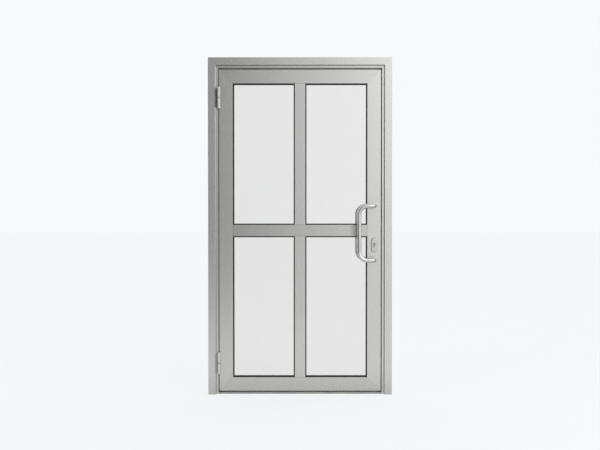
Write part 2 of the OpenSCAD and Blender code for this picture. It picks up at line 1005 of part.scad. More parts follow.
module bottom_brush() {
    bristle_w = 6;
    color(NYLON) {
        translate([0, 0, leaf_bottom + groove_depth / 2])
            cube([leaf_w - 4 * groove_depth, groove_w - 2 * fit, groove_depth], center = true);
        translate([0, 0, (leaf_bottom + sill_h + fit) / 2])
            cube([leaf_w - 4 * groove_depth, bristle_w, bottom_gap - fit], center = true);
    }
}

// Glazing: each bay holds a two-pane unit between an outer gasket and clipped beads

function bay_h(row) = row > 0 ? upper_bay_h : lower_bay_h;
function bay_z(row) = row > 0 ? upper_bay_z : lower_bay_z;

module in_bay(column, row) {
    translate([column * bay_x, leaf_front, bay_z(row)])
        children();
}

module glass_unit(column, row) {
    w = bay_w - 2 * glass_clear;
    h = bay_h(row) - 2 * glass_clear;
    color(GLASS)
        in_bay(column, row)
            for (v = [glass_v, inner_pane_v])
                translate([-w / 2, v, -h / 2])
                    cube([w, pane_t, h]);
}

module spacer_profile() {
    wall = 0.8;
    difference() {
        square([spacer_w, cavity]);
        translate([wall, wall])
            square([spacer_w - 2 * wall, cavity - 2 * wall]);
    }
}

module spacer_frames() {
    inset = 2 * (glass_clear + spacer_inset);
    color(ZINC)
        for (column = COLUMNS, row = ROWS)
            in_bay(column, row)
                translate([0, glass_v + pane_t, 0])
                    ring(bay_w - inset, bay_h(row) - inset, spacer_w)
                        spacer_profile();
}

// Gasket between the lip and the outer pane, hooked behind the lip's fin
module outer_gasket_profile() {
    hook_u = glass_lip - fin_w - hairline;
    hook_v = lip_t + fin_h + hairline;
    edge_u = glass_lip + hairline;
    nose_v = lip_t - gasket_edge;
    polygon([
        [glass_lip - gasket_root, lip_t], [hook_u, lip_t], [hook_u, hook_v], [edge_u, hook_v],
        [edge_u, nose_v], [glass_lip + gasket_nose / 2, nose_v],
        [glass_lip + gasket_nose, glass_v - gasket_edge], [glass_lip + gasket_nose, glass_v],
        [glass_lip - gasket_root, glass_v]
    ]);
}

// Gasket between the inner pane and the beads
module inner_gasket_profile() {
    edge_u = glass_lip + hairline;
    nose_v = bead_v + gasket_edge;
    polygon([
        [glass_lip - gasket_root, glass_back_v], [glass_lip + gasket_nose, glass_back_v],
        [glass_lip + gasket_nose, glass_back_v + gasket_edge], [glass_lip + gasket_nose / 2, nose_v],
        [edge_u, nose_v], [edge_u, bead_v], [glass_lip - gasket_root, bead_v]
    ]);
}

module outer_gaskets() {
    color(RUBBER)
        for (column = COLUMNS, row = ROWS)
            in_bay(column, row)
                ring(bay_w, bay_h(row), glass_lip + gasket_nose)
                    outer_gasket_profile();
}

module inner_gaskets() {
    color(RUBBER)
        for (column = COLUMNS, row = ROWS)
            in_bay(column, row)
                ring(bay_w, bay_h(row), glass_lip + gasket_nose)
                    inner_gasket_profile();
}

// Hollow clip-in bead, slotted where it snaps over the rib of the rebate
module bead_profile() {
    difference() {
        translate([hairline, bead_v])
            square([glass_lip - hairline, bead_d]);
        arris([glass_lip, leaf_d], bead_r, 180);
        difference() {
            translate([hairline + bead_wall, bead_v + bead_wall])
                square([glass_lip - hairline - 2 * bead_wall, bead_d - 2 * bead_wall]);
            translate([glass_lip - bead_r, leaf_d - bead_r])
                square(bead_r);
        }
        translate([-past, rib_v - fit])
            square([rib_l + fit + past, rib_t + 2 * fit]);
    }
}

module bead_set(column, row) {
    color(ALUMINIUM)
        in_bay(column, row)
            ring(bay_w, bay_h(row), glass_lip, hairline)
                bead_profile();
}

module glass_upper_left() { glass_unit(-1, 1); }
module glass_upper_right() { glass_unit(1, 1); }
module glass_lower_left() { glass_unit(-1, -1); }
module glass_lower_right() { glass_unit(1, -1); }
module beads_upper_left() { bead_set(-1, 1); }
module beads_upper_right() { bead_set(1, 1); }
module beads_lower_left() { bead_set(-1, -1); }
module beads_lower_right() { bead_set(1, -1); }

module setting_blocks() {
    color(NYLON)
        for (column = COLUMNS, row = ROWS, side = [-1, 1])
            in_bay(column, row)
                translate([side * bay_w / 4 - block_l / 2, glass_v, -bay_h(row) / 2])
                    cube([block_l, glass_back_v - glass_v, glass_clear]);
}

// Pull handles: one bent tube on each side, held back to back by studs through the stile

module tube_section() {
    difference() {
        circle(tube_r);
        circle(tube_r - tube_wall);
    }
}

module tube_run(len) {
    linear_extrude(height = len)
        tube_section();
}

// A quarter bend in the XY plane, from the angle start onwards
module tube_bend(r, start) {
    rotate([0, 0, start])
        rotate_extrude(angle = 90)
            translate([r, 0])
                tube_section();
}

module handle() {
    arm_x = grip_x + grip_bend_r;
    turn_x = handle_x - mount_bend_r;
    turn_y = handle_y + mount_bend_r;
    for (z = [handle_low, handle_top]) {
        translate([handle_x, leaf_front, z])
            rotate([90, 0, 0])
                tube_run(handle_standoff - mount_bend_r);
        translate([turn_x, turn_y, z])
            tube_bend(mount_bend_r, -90);
        translate([arm_x, handle_y, z])
            rotate([0, 90, 0])
                tube_run(turn_x - arm_x);
    }
    translate([arm_x, handle_y, handle_top - grip_bend_r])
        rotate([90, 0, 0])
            tube_bend(grip_bend_r, 90);
    translate([arm_x, handle_y, handle_low + grip_bend_r])
        rotate([90, 0, 0])
            tube_bend(grip_bend_r, 180);
    translate([grip_x, handle_y, handle_low + grip_bend_r])
        tube_run(handle_centres - 2 * grip_bend_r);
}

module handle_stud_set(r, len) {
    for (z = [handle_low, handle_top])
        translate([handle_x, 0, z])
            rotate([90, 0, 0])
                cylinder(h = len, r = r, center = true);
}

module outside_handle() { color(STAINLESS) handle(); }
module inside_handle() { color(STAINLESS) mirror([0, 1, 0]) handle(); }

module handle_plugs() {
    color(ZINC)
        difference() {
            for (turn = [0, 180], z = [handle_low, handle_top])
                translate([handle_x, 0, z])
                    rotate([90, 0, turn])
                        translate([0, 0, leaf_d / 2])
                            cylinder(h = plug_l, r = tube_r - tube_wall - running);
            handle_stud_set(stud_d / 2 + running, leaf_d + 2 * plug_l + 2 * past);
        }
}

module handle_studs() {
    color(ZINC)
        handle_stud_set(stud_d / 2, leaf_d + 2 * stud_grip);
}

// Lock: case behind a faceplate in the stile's groove, with deadbolt, roller latch and key cylinder

// Section of the key cylinder in the plane of the door, widened by play
module euro_profile(play = 0) {
    circle(euro_r + play);
    translate([0, -euro_drop])
        circle(euro_lobe_r + play);
    translate([-euro_lobe_r - play, -euro_drop])
        square([2 * (euro_lobe_r + play), euro_drop]);
}

module euro_prism(len, play = 0) {
    rotate([90, 0, 0])
        linear_extrude(height = len, center = true)
            euro_profile(play);
}

module faceplate_screw_set(play = 0) {
    for (z = [faceplate_low + plate_screw_inset, faceplate_high - plate_screw_inset])
        translate([leaf_x, 0, z])
            mirror([1, 0, 0])
                screw(play);
}

module lock_case() {
    color(ZINC)
        difference() {
            translate([case_back, -case_t / 2, case_low])
                cube([groove_x - case_back, case_t, case_high - case_low]);
            translate([case_back + case_wall, case_wall - case_t / 2, case_low + case_wall])
                cube([groove_x - case_back, case_t - 2 * case_wall, case_high - case_low - 2 * case_wall]);
            translate([key_x, 0, key_z])
                euro_prism(2 * case_t, fit);
        }
}

module lock_faceplate() {
    color(STAINLESS)
        difference() {
            round_plate(groove_x, groove_depth, plate_w, faceplate_low, faceplate_high);
            for (hole = [[bolt_z, bolt_h, bolt_t], [latch_z, latch_h, roller_d]])
                translate([groove_x - past, -hole[2] / 2 - fit, hole[0] - hole[1] / 2 - fit])
                    cube([groove_depth + 2 * past, hole[2] + 2 * fit, hole[1] + 2 * fit]);
            faceplate_screw_set(running);
            translate([leaf_x, 0, key_z - euro_drop])
                mirror([1, 0, 0])
                    screw(running);
        }
}

module faceplate_screws() {
    color(ZINC)
        faceplate_screw_set();
}

module cylinder_screw() {
    color(ZINC)
        translate([0, 0, key_z - euro_drop]) {
            translate([leaf_x, 0, 0])
                mirror([1, 0, 0])
                    screw();
            rod_x(key_x, leaf_x - screw_l, screw_d / 2);
        }
}

module cylinder_body() {
    color(NICKEL)
        difference() {
            translate([key_x, 0, key_z])
                euro_prism(cylinder_l);
            translate([key_x, 0, key_z])
                rotate([90, 0, 0])
                    cylinder(h = cylinder_l + 2 * past, r = key_plug_r + running, center = true);
            translate([key_x - 2 * euro_r, -cam_slot / 2, bridge_z])
                cube([4 * euro_r, cam_slot, 4 * euro_r]);
            translate([0, 0, key_z - euro_drop])
                rod_x(key_x - running, leaf_x, screw_d / 2 + running);
        }
}

module key_plug() {
    len = (cylinder_l - cam_t) / 2 - hairline;
    difference() {
        translate([key_x, -cylinder_l / 2, key_z])
            rotate([-90, 0, 0])
                cylinder(h = len, r = key_plug_r);
        translate([key_x - keyway_w / 2, -cylinder_l / 2 - past, key_z - keyway_h / 2 - keyway_drop])
            cube([keyway_w, keyway_l + past, keyway_h]);
    }
}

module outside_key_plug() { color(NICKEL) key_plug(); }
module inside_key_plug() { color(NICKEL) mirror([0, 1, 0]) key_plug(); }

module lock_cam() {
    color(BRASS)
        translate([key_x, 0, key_z])
            rotate([90, 0, 0])
                linear_extrude(height = cam_t, center = true) {
                    circle(cam_hub_r);
                    intersection() {
                        circle(cam_r);
                        translate([-cam_lug_w / 2, -cam_r])
                            square([cam_lug_w, cam_r]);
                    }
                }
}

// A stadium plate with a rounded rim, standing on the leaf's outer face
module escutcheon() {
    run = escutcheon_h - escutcheon_w;
    module rim() {
        difference() {
            square([escutcheon_w / 2, escutcheon_t]);
            arris([escutcheon_w / 2, escutcheon_t], escutcheon_r, 180);
        }
    }
    difference() {
        translate([key_x, leaf_front, key_z + euro_mid])
            rotate([90, 0, 0]) {
                for (turn = [0, 180])
                    rotate(turn)
                        translate([0, run / 2, 0])
                            rotate_extrude(angle = 180)
                                rim();
                rotate([90, 0, 0])
                    linear_extrude(height = run, center = true) {
                        rim();
                        mirror([1, 0])
                            rim();
                    }
            }
        translate([key_x, 0, key_z])
            euro_prism(2 * cylinder_l, fit);
    }
}

module outside_escutcheon() { color(STAINLESS) escutcheon(); }
module inside_escutcheon() { color(STAINLESS) mirror([0, 1, 0]) escutcheon(); }

module deadbolt() {
    color(NICKEL)
        translate([leaf_x - bolt_l, -bolt_t / 2, bolt_z - bolt_h / 2])
            cube([bolt_l, bolt_t, bolt_h]);
}

// Sprung slide that carries the roller between two ears, with its guide rod at the back
module latch_slide() {
    body_front = roller_x - roller_r - fit;
    color(ZINC)
        translate([0, 0, latch_z])
            difference() {
                union() {
                    translate([latch_back, -latch_t / 2, -latch_h / 2])
                        cube([body_front - latch_back, latch_t, latch_h]);
                    for (side = ROWS)
                        translate([body_front - past, -ear_end, side * (latch_h - ear_t) / 2 - ear_t / 2])
                            cube([roller_x + ear_end - body_front + past, 2 * ear_end, ear_t]);
                    rod_x(case_back + case_wall + latch_travel + fit, latch_back + past, latch_rod_r);
                }
                translate([roller_x, 0, 0])
                    cylinder(h = latch_h + 2 * past, r = roller_pin_r + running, center = true);
            }
}

// Compression spring of the latch, wound about X over the guide rod
module latch_spring() {
    x0 = case_back + case_wall;
    wire = spring_wire / 2;
    pitch = (latch_back - x0 - spring_wire) / (spring_turns * spring_steps);
    rings = spring_turns * spring_steps;
    points = [
        for (i = [0:rings], j = [0:spring_sides - 1])
            let (
                turn = 360 * i / spring_steps,
                round = 360 * j / spring_sides,
                r = spring_r + wire * cos(round)
            )
            [x0 + wire + pitch * i + wire * sin(round), r * cos(turn), r * sin(turn)]
    ];
    walls = [
        for (i = [0:rings - 1], j = [0:spring_sides - 1])
            let (
                a = i * spring_sides + j,
                b = i * spring_sides + (j + 1) % spring_sides
            )
            each [[a, b, b + spring_sides], [a, b + spring_sides, a + spring_sides]]
    ];
    start = [for (j = [spring_sides - 1:-1:0]) j];
    end = [for (j = [0:spring_sides - 1]) rings * spring_sides + j];
    color(STAINLESS)
        translate([0, 0, latch_z])
            polyhedron(points, concat([start], walls, [end]));
}

module latch_roller() {
    color(NYLON)
        translate([roller_x, 0, latch_z]) {
            cylinder(h = roller_h, r = roller_r, center = true);
            cylinder(h = latch_h, r = roller_pin_r, center = true);
        }
}

hinge_jamb();
lock_jamb();
head();
door_stops();
threshold();
frame_cleats();
stop_seal();
strike_plate();
strike_screws();
threshold_screws();
fixing_caps();
top_hinge_frame_flag();
bottom_hinge_frame_flag();
hinge_pins();
hinge_washers();
hinge_frame_screws();
hinge_stile();
lock_stile();
top_rail();
bottom_rail();
mid_rail();
upper_mullion();
lower_mullion();
leaf_cleats();
tee_connectors();
glass_upper_left();
glass_upper_right();
glass_lower_left();
glass_lower_right();
spacer_frames();
outer_gaskets();
inner_gaskets();
beads_upper_left();
beads_upper_right();
beads_lower_left();
beads_lower_right();
setting_blocks();
bottom_brush();
outside_handle();
inside_handle();
handle_plugs();
handle_studs();
lock_case();
lock_faceplate();
faceplate_screws();
cylinder_body();
cylinder_screw();
outside_escutcheon();
inside_escutcheon();
top_hinge_leaf_flag();
bottom_hinge_leaf_flag();
hinge_leaf_screws();
deadbolt();
outside_key_plug();
lock_cam();
inside_key_plug();
latch_slide();
latch_spring();
latch_roller();
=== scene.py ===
# %% [markdown]
# # An aluminium entrance door in its frame
#
# This lesson dresses a glazed entrance door. Its rigid pieces come from a CAD model and are already in place, in
# metres, so most of the work is in their finishes. They could be modelled again by hand, but then the picture and
# the moving model would drift apart. Ten small pieces are made anew, because their look or their motion needs what
# the solids leave out: the pull handles, the screws, the hinge washers, the latch spring and the door brush.

# %% Load the fixed frame
import math
from functools import reduce

import bmesh
import bpy
import numpy as np
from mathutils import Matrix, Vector


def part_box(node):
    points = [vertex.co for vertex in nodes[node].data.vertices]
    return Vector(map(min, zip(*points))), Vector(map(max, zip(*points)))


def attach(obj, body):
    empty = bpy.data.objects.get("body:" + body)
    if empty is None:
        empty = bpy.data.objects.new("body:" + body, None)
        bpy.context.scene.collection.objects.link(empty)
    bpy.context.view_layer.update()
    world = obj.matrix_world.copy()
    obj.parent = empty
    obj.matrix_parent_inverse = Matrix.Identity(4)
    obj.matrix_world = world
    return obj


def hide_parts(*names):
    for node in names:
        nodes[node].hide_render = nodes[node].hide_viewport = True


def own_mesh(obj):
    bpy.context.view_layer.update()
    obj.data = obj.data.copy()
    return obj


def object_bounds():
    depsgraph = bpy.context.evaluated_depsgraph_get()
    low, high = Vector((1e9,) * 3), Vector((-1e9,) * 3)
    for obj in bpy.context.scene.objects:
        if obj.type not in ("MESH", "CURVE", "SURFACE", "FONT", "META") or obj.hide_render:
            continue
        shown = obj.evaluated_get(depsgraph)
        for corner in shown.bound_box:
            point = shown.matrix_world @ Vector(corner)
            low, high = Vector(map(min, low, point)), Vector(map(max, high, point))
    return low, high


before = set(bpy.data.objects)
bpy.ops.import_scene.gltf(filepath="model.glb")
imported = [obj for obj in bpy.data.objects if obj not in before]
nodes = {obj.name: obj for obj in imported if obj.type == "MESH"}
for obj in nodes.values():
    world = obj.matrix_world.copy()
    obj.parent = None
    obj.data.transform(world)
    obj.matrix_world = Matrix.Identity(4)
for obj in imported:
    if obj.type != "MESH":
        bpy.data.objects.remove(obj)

cad_low, cad_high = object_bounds()
print("CAD nodes:", len(nodes), "box:", tuple(cad_low), tuple(cad_high))

# %% [markdown]
# ## Camera
#
# The door is seen nearly straight on, from a little above its middle, with a lens that makes the far edges converge
# only slightly. A camera could be set by eye, but beside so straight an object a small error already shows. The
# values below were fitted to the door's corners, bars and hinges, for a picture of 600 by 450 points.

# %% Camera
PICTURE_WIDTH = 600
FOCAL_POINTS = 885
SENSOR_MM = 36
CAMERA_PLACE = (0.002, -5.819, 1.210)
CAMERA_PITCH = -1.0
CAMERA_YAW = 0.025

lens = bpy.data.cameras.new("door_camera")
lens.sensor_fit = "HORIZONTAL"
lens.sensor_width = SENSOR_MM
lens.lens = FOCAL_POINTS * SENSOR_MM / PICTURE_WIDTH
camera = bpy.data.objects.new("door_camera", lens)
camera.location = CAMERA_PLACE
camera.rotation_euler = (math.radians(90 + CAMERA_PITCH), 0, math.radians(CAMERA_YAW))
bpy.context.scene.collection.objects.link(camera)
bpy.context.scene.camera = camera
print("lens", round(lens.lens, 1), "mm")

# %% [markdown]
# ## Helpers for shader nodes
#
# A finish is a small network of nodes. It could be built by hand in the editor, but the finishes of this door share
# a few effects, and a script builds each of them once. These helpers keep a network readable as a list of lines: one
# adds a node, and the others are the sums that the effects need.

# %% Node helpers
def put(tree, kind, inputs=None, **settings):
    """Adds a node. Each entry of inputs is a socket's value, or another node's output that is joined to it."""
    made = tree.nodes.new(kind)
    for key, value in settings.items():
        setattr(made, key, value)
    for key, value in (inputs or {}).items():
        socket = made.inputs[key]
        if isinstance(value, bpy.types.NodeSocket):
            tree.links.new(value, socket)
        else:
            socket.default_value = (*value, 1.0) if socket.type == "RGBA" else value
    return made


def calc(tree, operation, a, b=0.0):
    """One sum on two values or outputs, such as MINIMUM, or on the first alone, such as ABSOLUTE."""
    return put(tree, "ShaderNodeMath", {0: a, 1: b}, operation=operation).outputs[0]


def times(tree, *values):
    """The product of all values or outputs."""
    return reduce(lambda a, b: calc(tree, "MULTIPLY", a, b), values)


def apart(tree, a, b):
    """How far two values lie from each other: |a - b|."""
    return calc(tree, "ABSOLUTE", calc(tree, "SUBTRACT", a, b))


def falloff(tree, distance, reach):
    """1 at no distance, falling evenly to 0 at the reach: 1 - distance / reach, held at 0 from there on."""
    return calc(tree, "MAXIMUM", calc(tree, "SUBTRACT", 1.0, calc(tree, "DIVIDE", distance, reach)), 0.0)


def ramp(tree, value, low, high, to_low=0.0, to_high=1.0, smooth=True):
    """Maps low..high of a value to to_low..to_high, with soft ends if smooth, and holds it there outside."""
    kind = "SMOOTHSTEP" if smooth else "LINEAR"
    names = {"Value": value, "From Min": low, "From Max": high, "To Min": to_low, "To Max": to_high}
    return put(tree, "ShaderNodeMapRange", names, interpolation_type=kind).outputs[0]


def split(tree, vector):
    """The X, Y and Z outputs of a vector."""
    return tuple(put(tree, "ShaderNodeSeparateXYZ", {0: vector}).outputs)


print("node helpers ready")

# %% [markdown]
# ## Node groups
#
# An effect that several finishes use is a node group: a network with named inputs and outputs that is built once and
# placed in each finish with its own values. Copying the nodes into every finish would work too, but a correction
# would then have to be made in all of them.

# %% Group helpers
FLOAT, VECTOR = "NodeSocketFloat", "NodeSocketVector"


def start_group(name, inputs, outputs):
    """An empty node group with named sockets. Returns its tree, what it is given and what it hands out."""
    tree = bpy.data.node_groups.new(name, "ShaderNodeTree")
    for way, sockets in (("INPUT", inputs), ("OUTPUT", outputs)):
        for socket, kind in sockets.items():
            tree.interface.new_socket(socket, in_out=way, socket_type=kind)
    return tree, tree.nodes.new("NodeGroupInput").outputs, tree.nodes.new("NodeGroupOutput").inputs


def place_group(tree, group, inputs):
    """Places a group in a material, with its inputs set or joined, and returns its outputs."""
    return put(tree, "ShaderNodeGroup", inputs, node_tree=group).outputs


print("group helpers ready")

# %% [markdown]
# ## Grain
#
# Anodised extrusions carry fine lines along their length, left by the press tool and the etch bath, and any large
# metal face is faintly cloudy. A picture of metal could give both, but it would repeat and end at the bars' edges. A
# noise that is squeezed across the bar and stretched along it gives such lines on a bar of any size, and a second,
# large noise gives the clouds.

# %% Grain group
STREAK_NOISE = {"Scale": 1.0, "Detail": 3.0, "Roughness": 0.6}
CLOUD_DETAIL = 2.0
grain_group, given, result = start_group(
    "extrusion_grain", {"Position": VECTOR, "Stretch": VECTOR, "Cloud Scale": FLOAT},
    {"Streak": FLOAT, "Cloud": FLOAT})
stretched = put(grain_group, "ShaderNodeVectorMath", {0: given["Position"], 1: given["Stretch"]},
                operation="MULTIPLY")
streak = put(grain_group, "ShaderNodeTexNoise", {"Vector": stretched.outputs[0], **STREAK_NOISE})
cloud = put(grain_group, "ShaderNodeTexNoise",
            {"Vector": given["Position"], "Scale": given["Cloud Scale"], "Detail": CLOUD_DETAIL})
grain_group.links.new(streak.outputs[0], result["Streak"])
grain_group.links.new(cloud.outputs[0], result["Cloud"])
print("group", grain_group.name)

# %% [markdown]
# ## Mitres
#
# Two bars that meet at a corner are cut at 45 degrees, and the cut reads as a hairline. A groove in the mesh would
# show it too, but at half a millimetre it would hardly catch any light. So a rule draws the line: on the bar's face
# it lies where the distance to the side equals the distance to the top or the bottom.

# %% Mitre group
mitre_group, given, result = start_group(
    "mitre_line",
    {"Position": VECTOR, "Half Width": FLOAT, "Top": FLOAT, "Bottom": FLOAT, "Bar": FLOAT, "Line": FLOAT},
    {"Line": FLOAT})
x, y, z = split(mitre_group, given["Position"])
from_side = calc(mitre_group, "SUBTRACT", given["Half Width"], calc(mitre_group, "ABSOLUTE", x))
from_end = calc(mitre_group, "MINIMUM", calc(mitre_group, "SUBTRACT", given["Top"], z),
                calc(mitre_group, "SUBTRACT", z, given["Bottom"]))
on_line = falloff(mitre_group, apart(mitre_group, from_side, from_end), given["Line"])
in_bar = calc(mitre_group, "LESS_THAN", from_side, given["Bar"])
mitre_group.links.new(times(mitre_group, on_line, in_bar), result["Line"])
print("group", mitre_group.name)

# %% [markdown]
# ## Bar ends
#
# A bar that is butted against another one shows a dark line where it ends. A real gap would show one as well, but
# these bars are screwed tight. On the street side they end a glazing lip earlier than on the room side, so the line's
# place depends on the depth. The axis that a bar runs along is an input, so one group serves level and upright bars.

# %% Bar end group
bar_end_group, given, result = start_group(
    "bar_end_line",
    {"Position": VECTOR, "Axis": VECTOR, "Start": FLOAT, "End": FLOAT, "Lip": FLOAT, "Line": FLOAT},
    {"Line": FLOAT})
along = put(bar_end_group, "ShaderNodeVectorMath", {0: given["Position"], 1: given["Axis"]},
            operation="DOT_PRODUCT").outputs["Value"]
x, y, z = split(bar_end_group, given["Position"])
to_end = calc(bar_end_group, "MINIMUM", calc(bar_end_group, "SUBTRACT", along, given["Start"]),
              calc(bar_end_group, "SUBTRACT", given["End"], along))
lip = times(bar_end_group, calc(bar_end_group, "LESS_THAN", y, 0.0), given["Lip"])
bar_end_group.links.new(falloff(bar_end_group, apart(bar_end_group, to_end, lip), given["Line"]), result["Line"])
print("group", bar_end_group.name)

# %% [markdown]
# ## Painted shade in the gap round the leaf
#
# The narrow gap round the leaf looks darker than its depth explains, more so towards the top, so painted shade darkens
# it there. An ambient occlusion node could find the gap, but it is slow and finds every other corner too. The gap lies
# at a known distance inside an outline that stands on the floor, so a mask can be worked out from the place alone. All
# these masks, of painted shade and of dust, share the same start and end: they are given a place and an amount, and
# multiply their masks.

# %% Gap shade group
stile_low, stile_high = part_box("hinge_stile")
LEAF_HALF, LEAF_TOP, LEAF_FOOT = -stile_low.x, stile_high.z, stile_low.z
GAP_OUTER, GAP_INNER = -0.0124, 0.0004
GAP_DEEP = (-0.0250, -0.0120)
GAP_RISE = (0.5, 1.7, 0.9, 1.4)


def outline_distance(tree, x, z, half_width, top):
    """How far a place lies inside an outline that stands on the floor: the least of the ways to its sides and top."""
    to_side = calc(tree, "SUBTRACT", half_width, calc(tree, "ABSOLUTE", x))
    return calc(tree, "MINIMUM", to_side, calc(tree, "SUBTRACT", top, z))


def start_shade_and_dust_mask(name, shape=None):
    """A group for a mask of painted shade or of dust: it is given a place, an amount and the numbers of its shape, and
    hands out one mask.
    """
    return start_group(name, {"Position": VECTOR, "Amount": FLOAT, **(shape or {})}, {"Shade And Dust": FLOAT})


def finish_shade_and_dust_mask(tree, given, result, *masks):
    """The result lies where all masks do, and the amount says how strong it is."""
    tree.links.new(times(tree, *masks, given["Amount"]), result["Shade And Dust"])
    print("group", tree.name)


gap_group, given, result = start_shade_and_dust_mask("gap_painted_shade")
x, y, z = split(gap_group, given["Position"])
inside = outline_distance(gap_group, x, z, LEAF_HALF, LEAF_TOP)
finish_shade_and_dust_mask(gap_group, given, result,
            calc(gap_group, "LESS_THAN", inside, GAP_INNER), calc(gap_group, "GREATER_THAN", inside, GAP_OUTER),
            ramp(gap_group, y, *GAP_DEEP), ramp(gap_group, z, *GAP_RISE))

# %% [markdown]
# ## Painted shade in the frame's step
#
# The frame's face is stepped: a proud outer face and a lip set back behind it. The corner between them is darkened with
# painted shade too, more so towards the floor. It lies at a known distance inside the frame's outline, so it is found
# in the same way as the gap, and fades out over a few millimetres of the lip.

# %% Step shade group
FRAME_HALF, FRAME_TOP = cad_high.x, cad_high.z
STEP_FADE = (0.053, 0.048)
STEP_CORNER = 0.0476
STEP_DEEP = (-0.049, -0.036)
STEP_BACK = -0.0246
STEP_FALL = (0.4, 1.9, 1.3, 0.55)
step_group, given, result = start_shade_and_dust_mask("step_painted_shade")
x, y, z = split(step_group, given["Position"])
inside = outline_distance(step_group, x, z, FRAME_HALF, FRAME_TOP)
finish_shade_and_dust_mask(step_group, given, result,
            ramp(step_group, inside, *STEP_FADE), calc(step_group, "GREATER_THAN", inside, STEP_CORNER),
            ramp(step_group, y, *STEP_DEEP), calc(step_group, "LESS_THAN", y, STEP_BACK),
            ramp(step_group, z, *STEP_FALL))

# %% [markdown]
# ## Painted shadow beside the hinges
#
# The bars beside the hinge barrels are darkened by a painted shadow of the barrels, more so at the upper one. It could
# be brushed onto the bars as vertex colour, but their CAD meshes stay as they are. Both hinges lie equally far from the
# height between them, so one distance finds the two places at once.

# %% Hinge shadow group
HINGE_HEIGHTS = (0.204, 1.939)
HINGE_MIDDLE = (HINGE_HEIGHTS[0] + HINGE_HEIGHTS[1]) / 2
HINGE_REACH = (HINGE_HEIGHTS[1] - HINGE_HEIGHTS[0]) / 2
# How far the painted shadow reaches beside, above and below the barrels, and how it grows with the height.
HINGE_SHADOW_LEFT = (-0.560, -0.551)
HINGE_SHADOW_RIGHT = (-0.508, -0.520)
HINGE_SHADOW_ENDS = (0.068, 0.058)
HINGE_SHADOW_RISE = (0.5, 1.5, 0.3, 1.0)
STREET_SIDE = -0.020
hinge_group, given, result = start_shade_and_dust_mask("hinge_painted_shadow")
x, y, z = split(hinge_group, given["Position"])
from_hinge = apart(hinge_group, apart(hinge_group, z, HINGE_MIDDLE), HINGE_REACH)
finish_shade_and_dust_mask(hinge_group, given, result,
            ramp(hinge_group, x, *HINGE_SHADOW_LEFT), ramp(hinge_group, x, *HINGE_SHADOW_RIGHT),
            ramp(hinge_group, from_hinge, *HINGE_SHADOW_ENDS), ramp(hinge_group, z, *HINGE_SHADOW_RISE),
            calc(hinge_group, "LESS_THAN", y, STREET_SIDE))

# %% [markdown]
# ## Painted shadow round the lock's plate and the grip
#
# A soft rim of painted shadow lies round the lock's plate, and a wider one on the bar behind the grip, both more on
# their left, away from the lamp. A painted picture could hold them, but each rim follows a shape with round ends, so
# the
# distance to such a shape is the mask: the way to its straight middle line, less its radius. Shape and width are
# inputs, so one group serves both.

# %% Rim shadow group
RIM_SHADOW_EDGE = 0.0005
RIM_SHADOW_SIDE = (0.012, -0.012, 0.15, 1.0)
rim_shadow_group, given, result = start_shade_and_dust_mask(
    "rim_painted_shadow", {"Centre": VECTOR, "Half Run": FLOAT, "Radius": FLOAT, "Reach": FLOAT})
offset = put(rim_shadow_group, "ShaderNodeVectorMath", {0: given["Position"], 1: given["Centre"]}, operation="SUBTRACT")
x, y, z = split(rim_shadow_group, offset.outputs[0])
past_run = calc(rim_shadow_group, "SUBTRACT", calc(rim_shadow_group, "ABSOLUTE", z), given["Half Run"])
across = put(rim_shadow_group, "ShaderNodeCombineXYZ", {"X": x, "Z": calc(rim_shadow_group, "MAXIMUM", past_run, 0.0)})
away = put(rim_shadow_group, "ShaderNodeVectorMath", {0: across.outputs[0]}, operation="LENGTH").outputs["Value"]
from_rim = calc(rim_shadow_group, "SUBTRACT", away, given["Radius"])
finish_shade_and_dust_mask(rim_shadow_group, given, result,
            ramp(rim_shadow_group, from_rim, given["Reach"], RIM_SHADOW_EDGE), ramp(rim_shadow_group, x, *RIM_SHADOW_SIDE))

# %% [markdown]
# ## Dust
#
# A little pale dust settles near the floor, in patches. A particle system could strew it, but it is only ever seen as
# a tone. A noise gives the patches, and a fall with the height keeps them low.

# %% Dust group
DUST_NOISE = {"Scale": 12.0, "Detail": 4.0, "Roughness": 0.55}
DUST_PATCH = (0.35, 0.75)
dust_group, given, result = start_shade_and_dust_mask("floor_dust", {"Height": FLOAT})
x, y, z = split(dust_group, given["Position"])
patch = put(dust_group, "ShaderNodeTexNoise", {"Vector": given["Position"], **DUST_NOISE}).outputs[0]
finish_shade_and_dust_mask(dust_group, given, result, falloff(dust_group, z, given["Height"]), ramp(dust_group, patch, *DUST_PATCH))

# %% [markdown]
# ## A blank finish
#
# Every finish starts from a shader, an output and Object coordinates. Generated coordinates would stretch with each
# piece's box, while Object coordinates are metres in the door's own frame, so a pattern keeps its scale on every piece.
# The colour, the roughness and a height for the relief are then joined to the shader in one place.

# %% Blank finish
def empty_tree(owner):
    """Switches a material or a world to nodes and clears them."""
    owner.use_nodes = True
    owner.node_tree.nodes.clear()
    return owner.node_tree


def blank_material(name):
    """A new material, its node tree, its Principled shader and its Object coordinates."""
    made = bpy.data.materials.new(name)
    tree = empty_tree(made)
    shader = put(tree, "ShaderNodeBsdfPrincipled")
    put(tree, "ShaderNodeOutputMaterial", {"Surface": shader.outputs[0]})
    return made, tree, shader, put(tree, "ShaderNodeTexCoord").outputs["Object"]


def blend_colour(tree, amount, low, high):
    """A colour between two colours or outputs; a Mix node has its colours at sockets 6 and 7, and the result at 2."""
    return put(tree, "ShaderNodeMix", {0: amount, 6: low, 7: high}, data_type="RGBA").outputs[2]


def coat(tree, shader, colour, roughness, height, strength, depth):
    """Joins a colour and a roughness to a shader, and a height by way of a bump."""
    bump = put(tree, "ShaderNodeBump", {"Strength": strength, "Distance": depth, "Height": height})
    for socket, value in (("Base Color", colour), ("Roughness", roughness), ("Normal", bump.outputs[0])):
        tree.links.new(value, shader.inputs[socket])


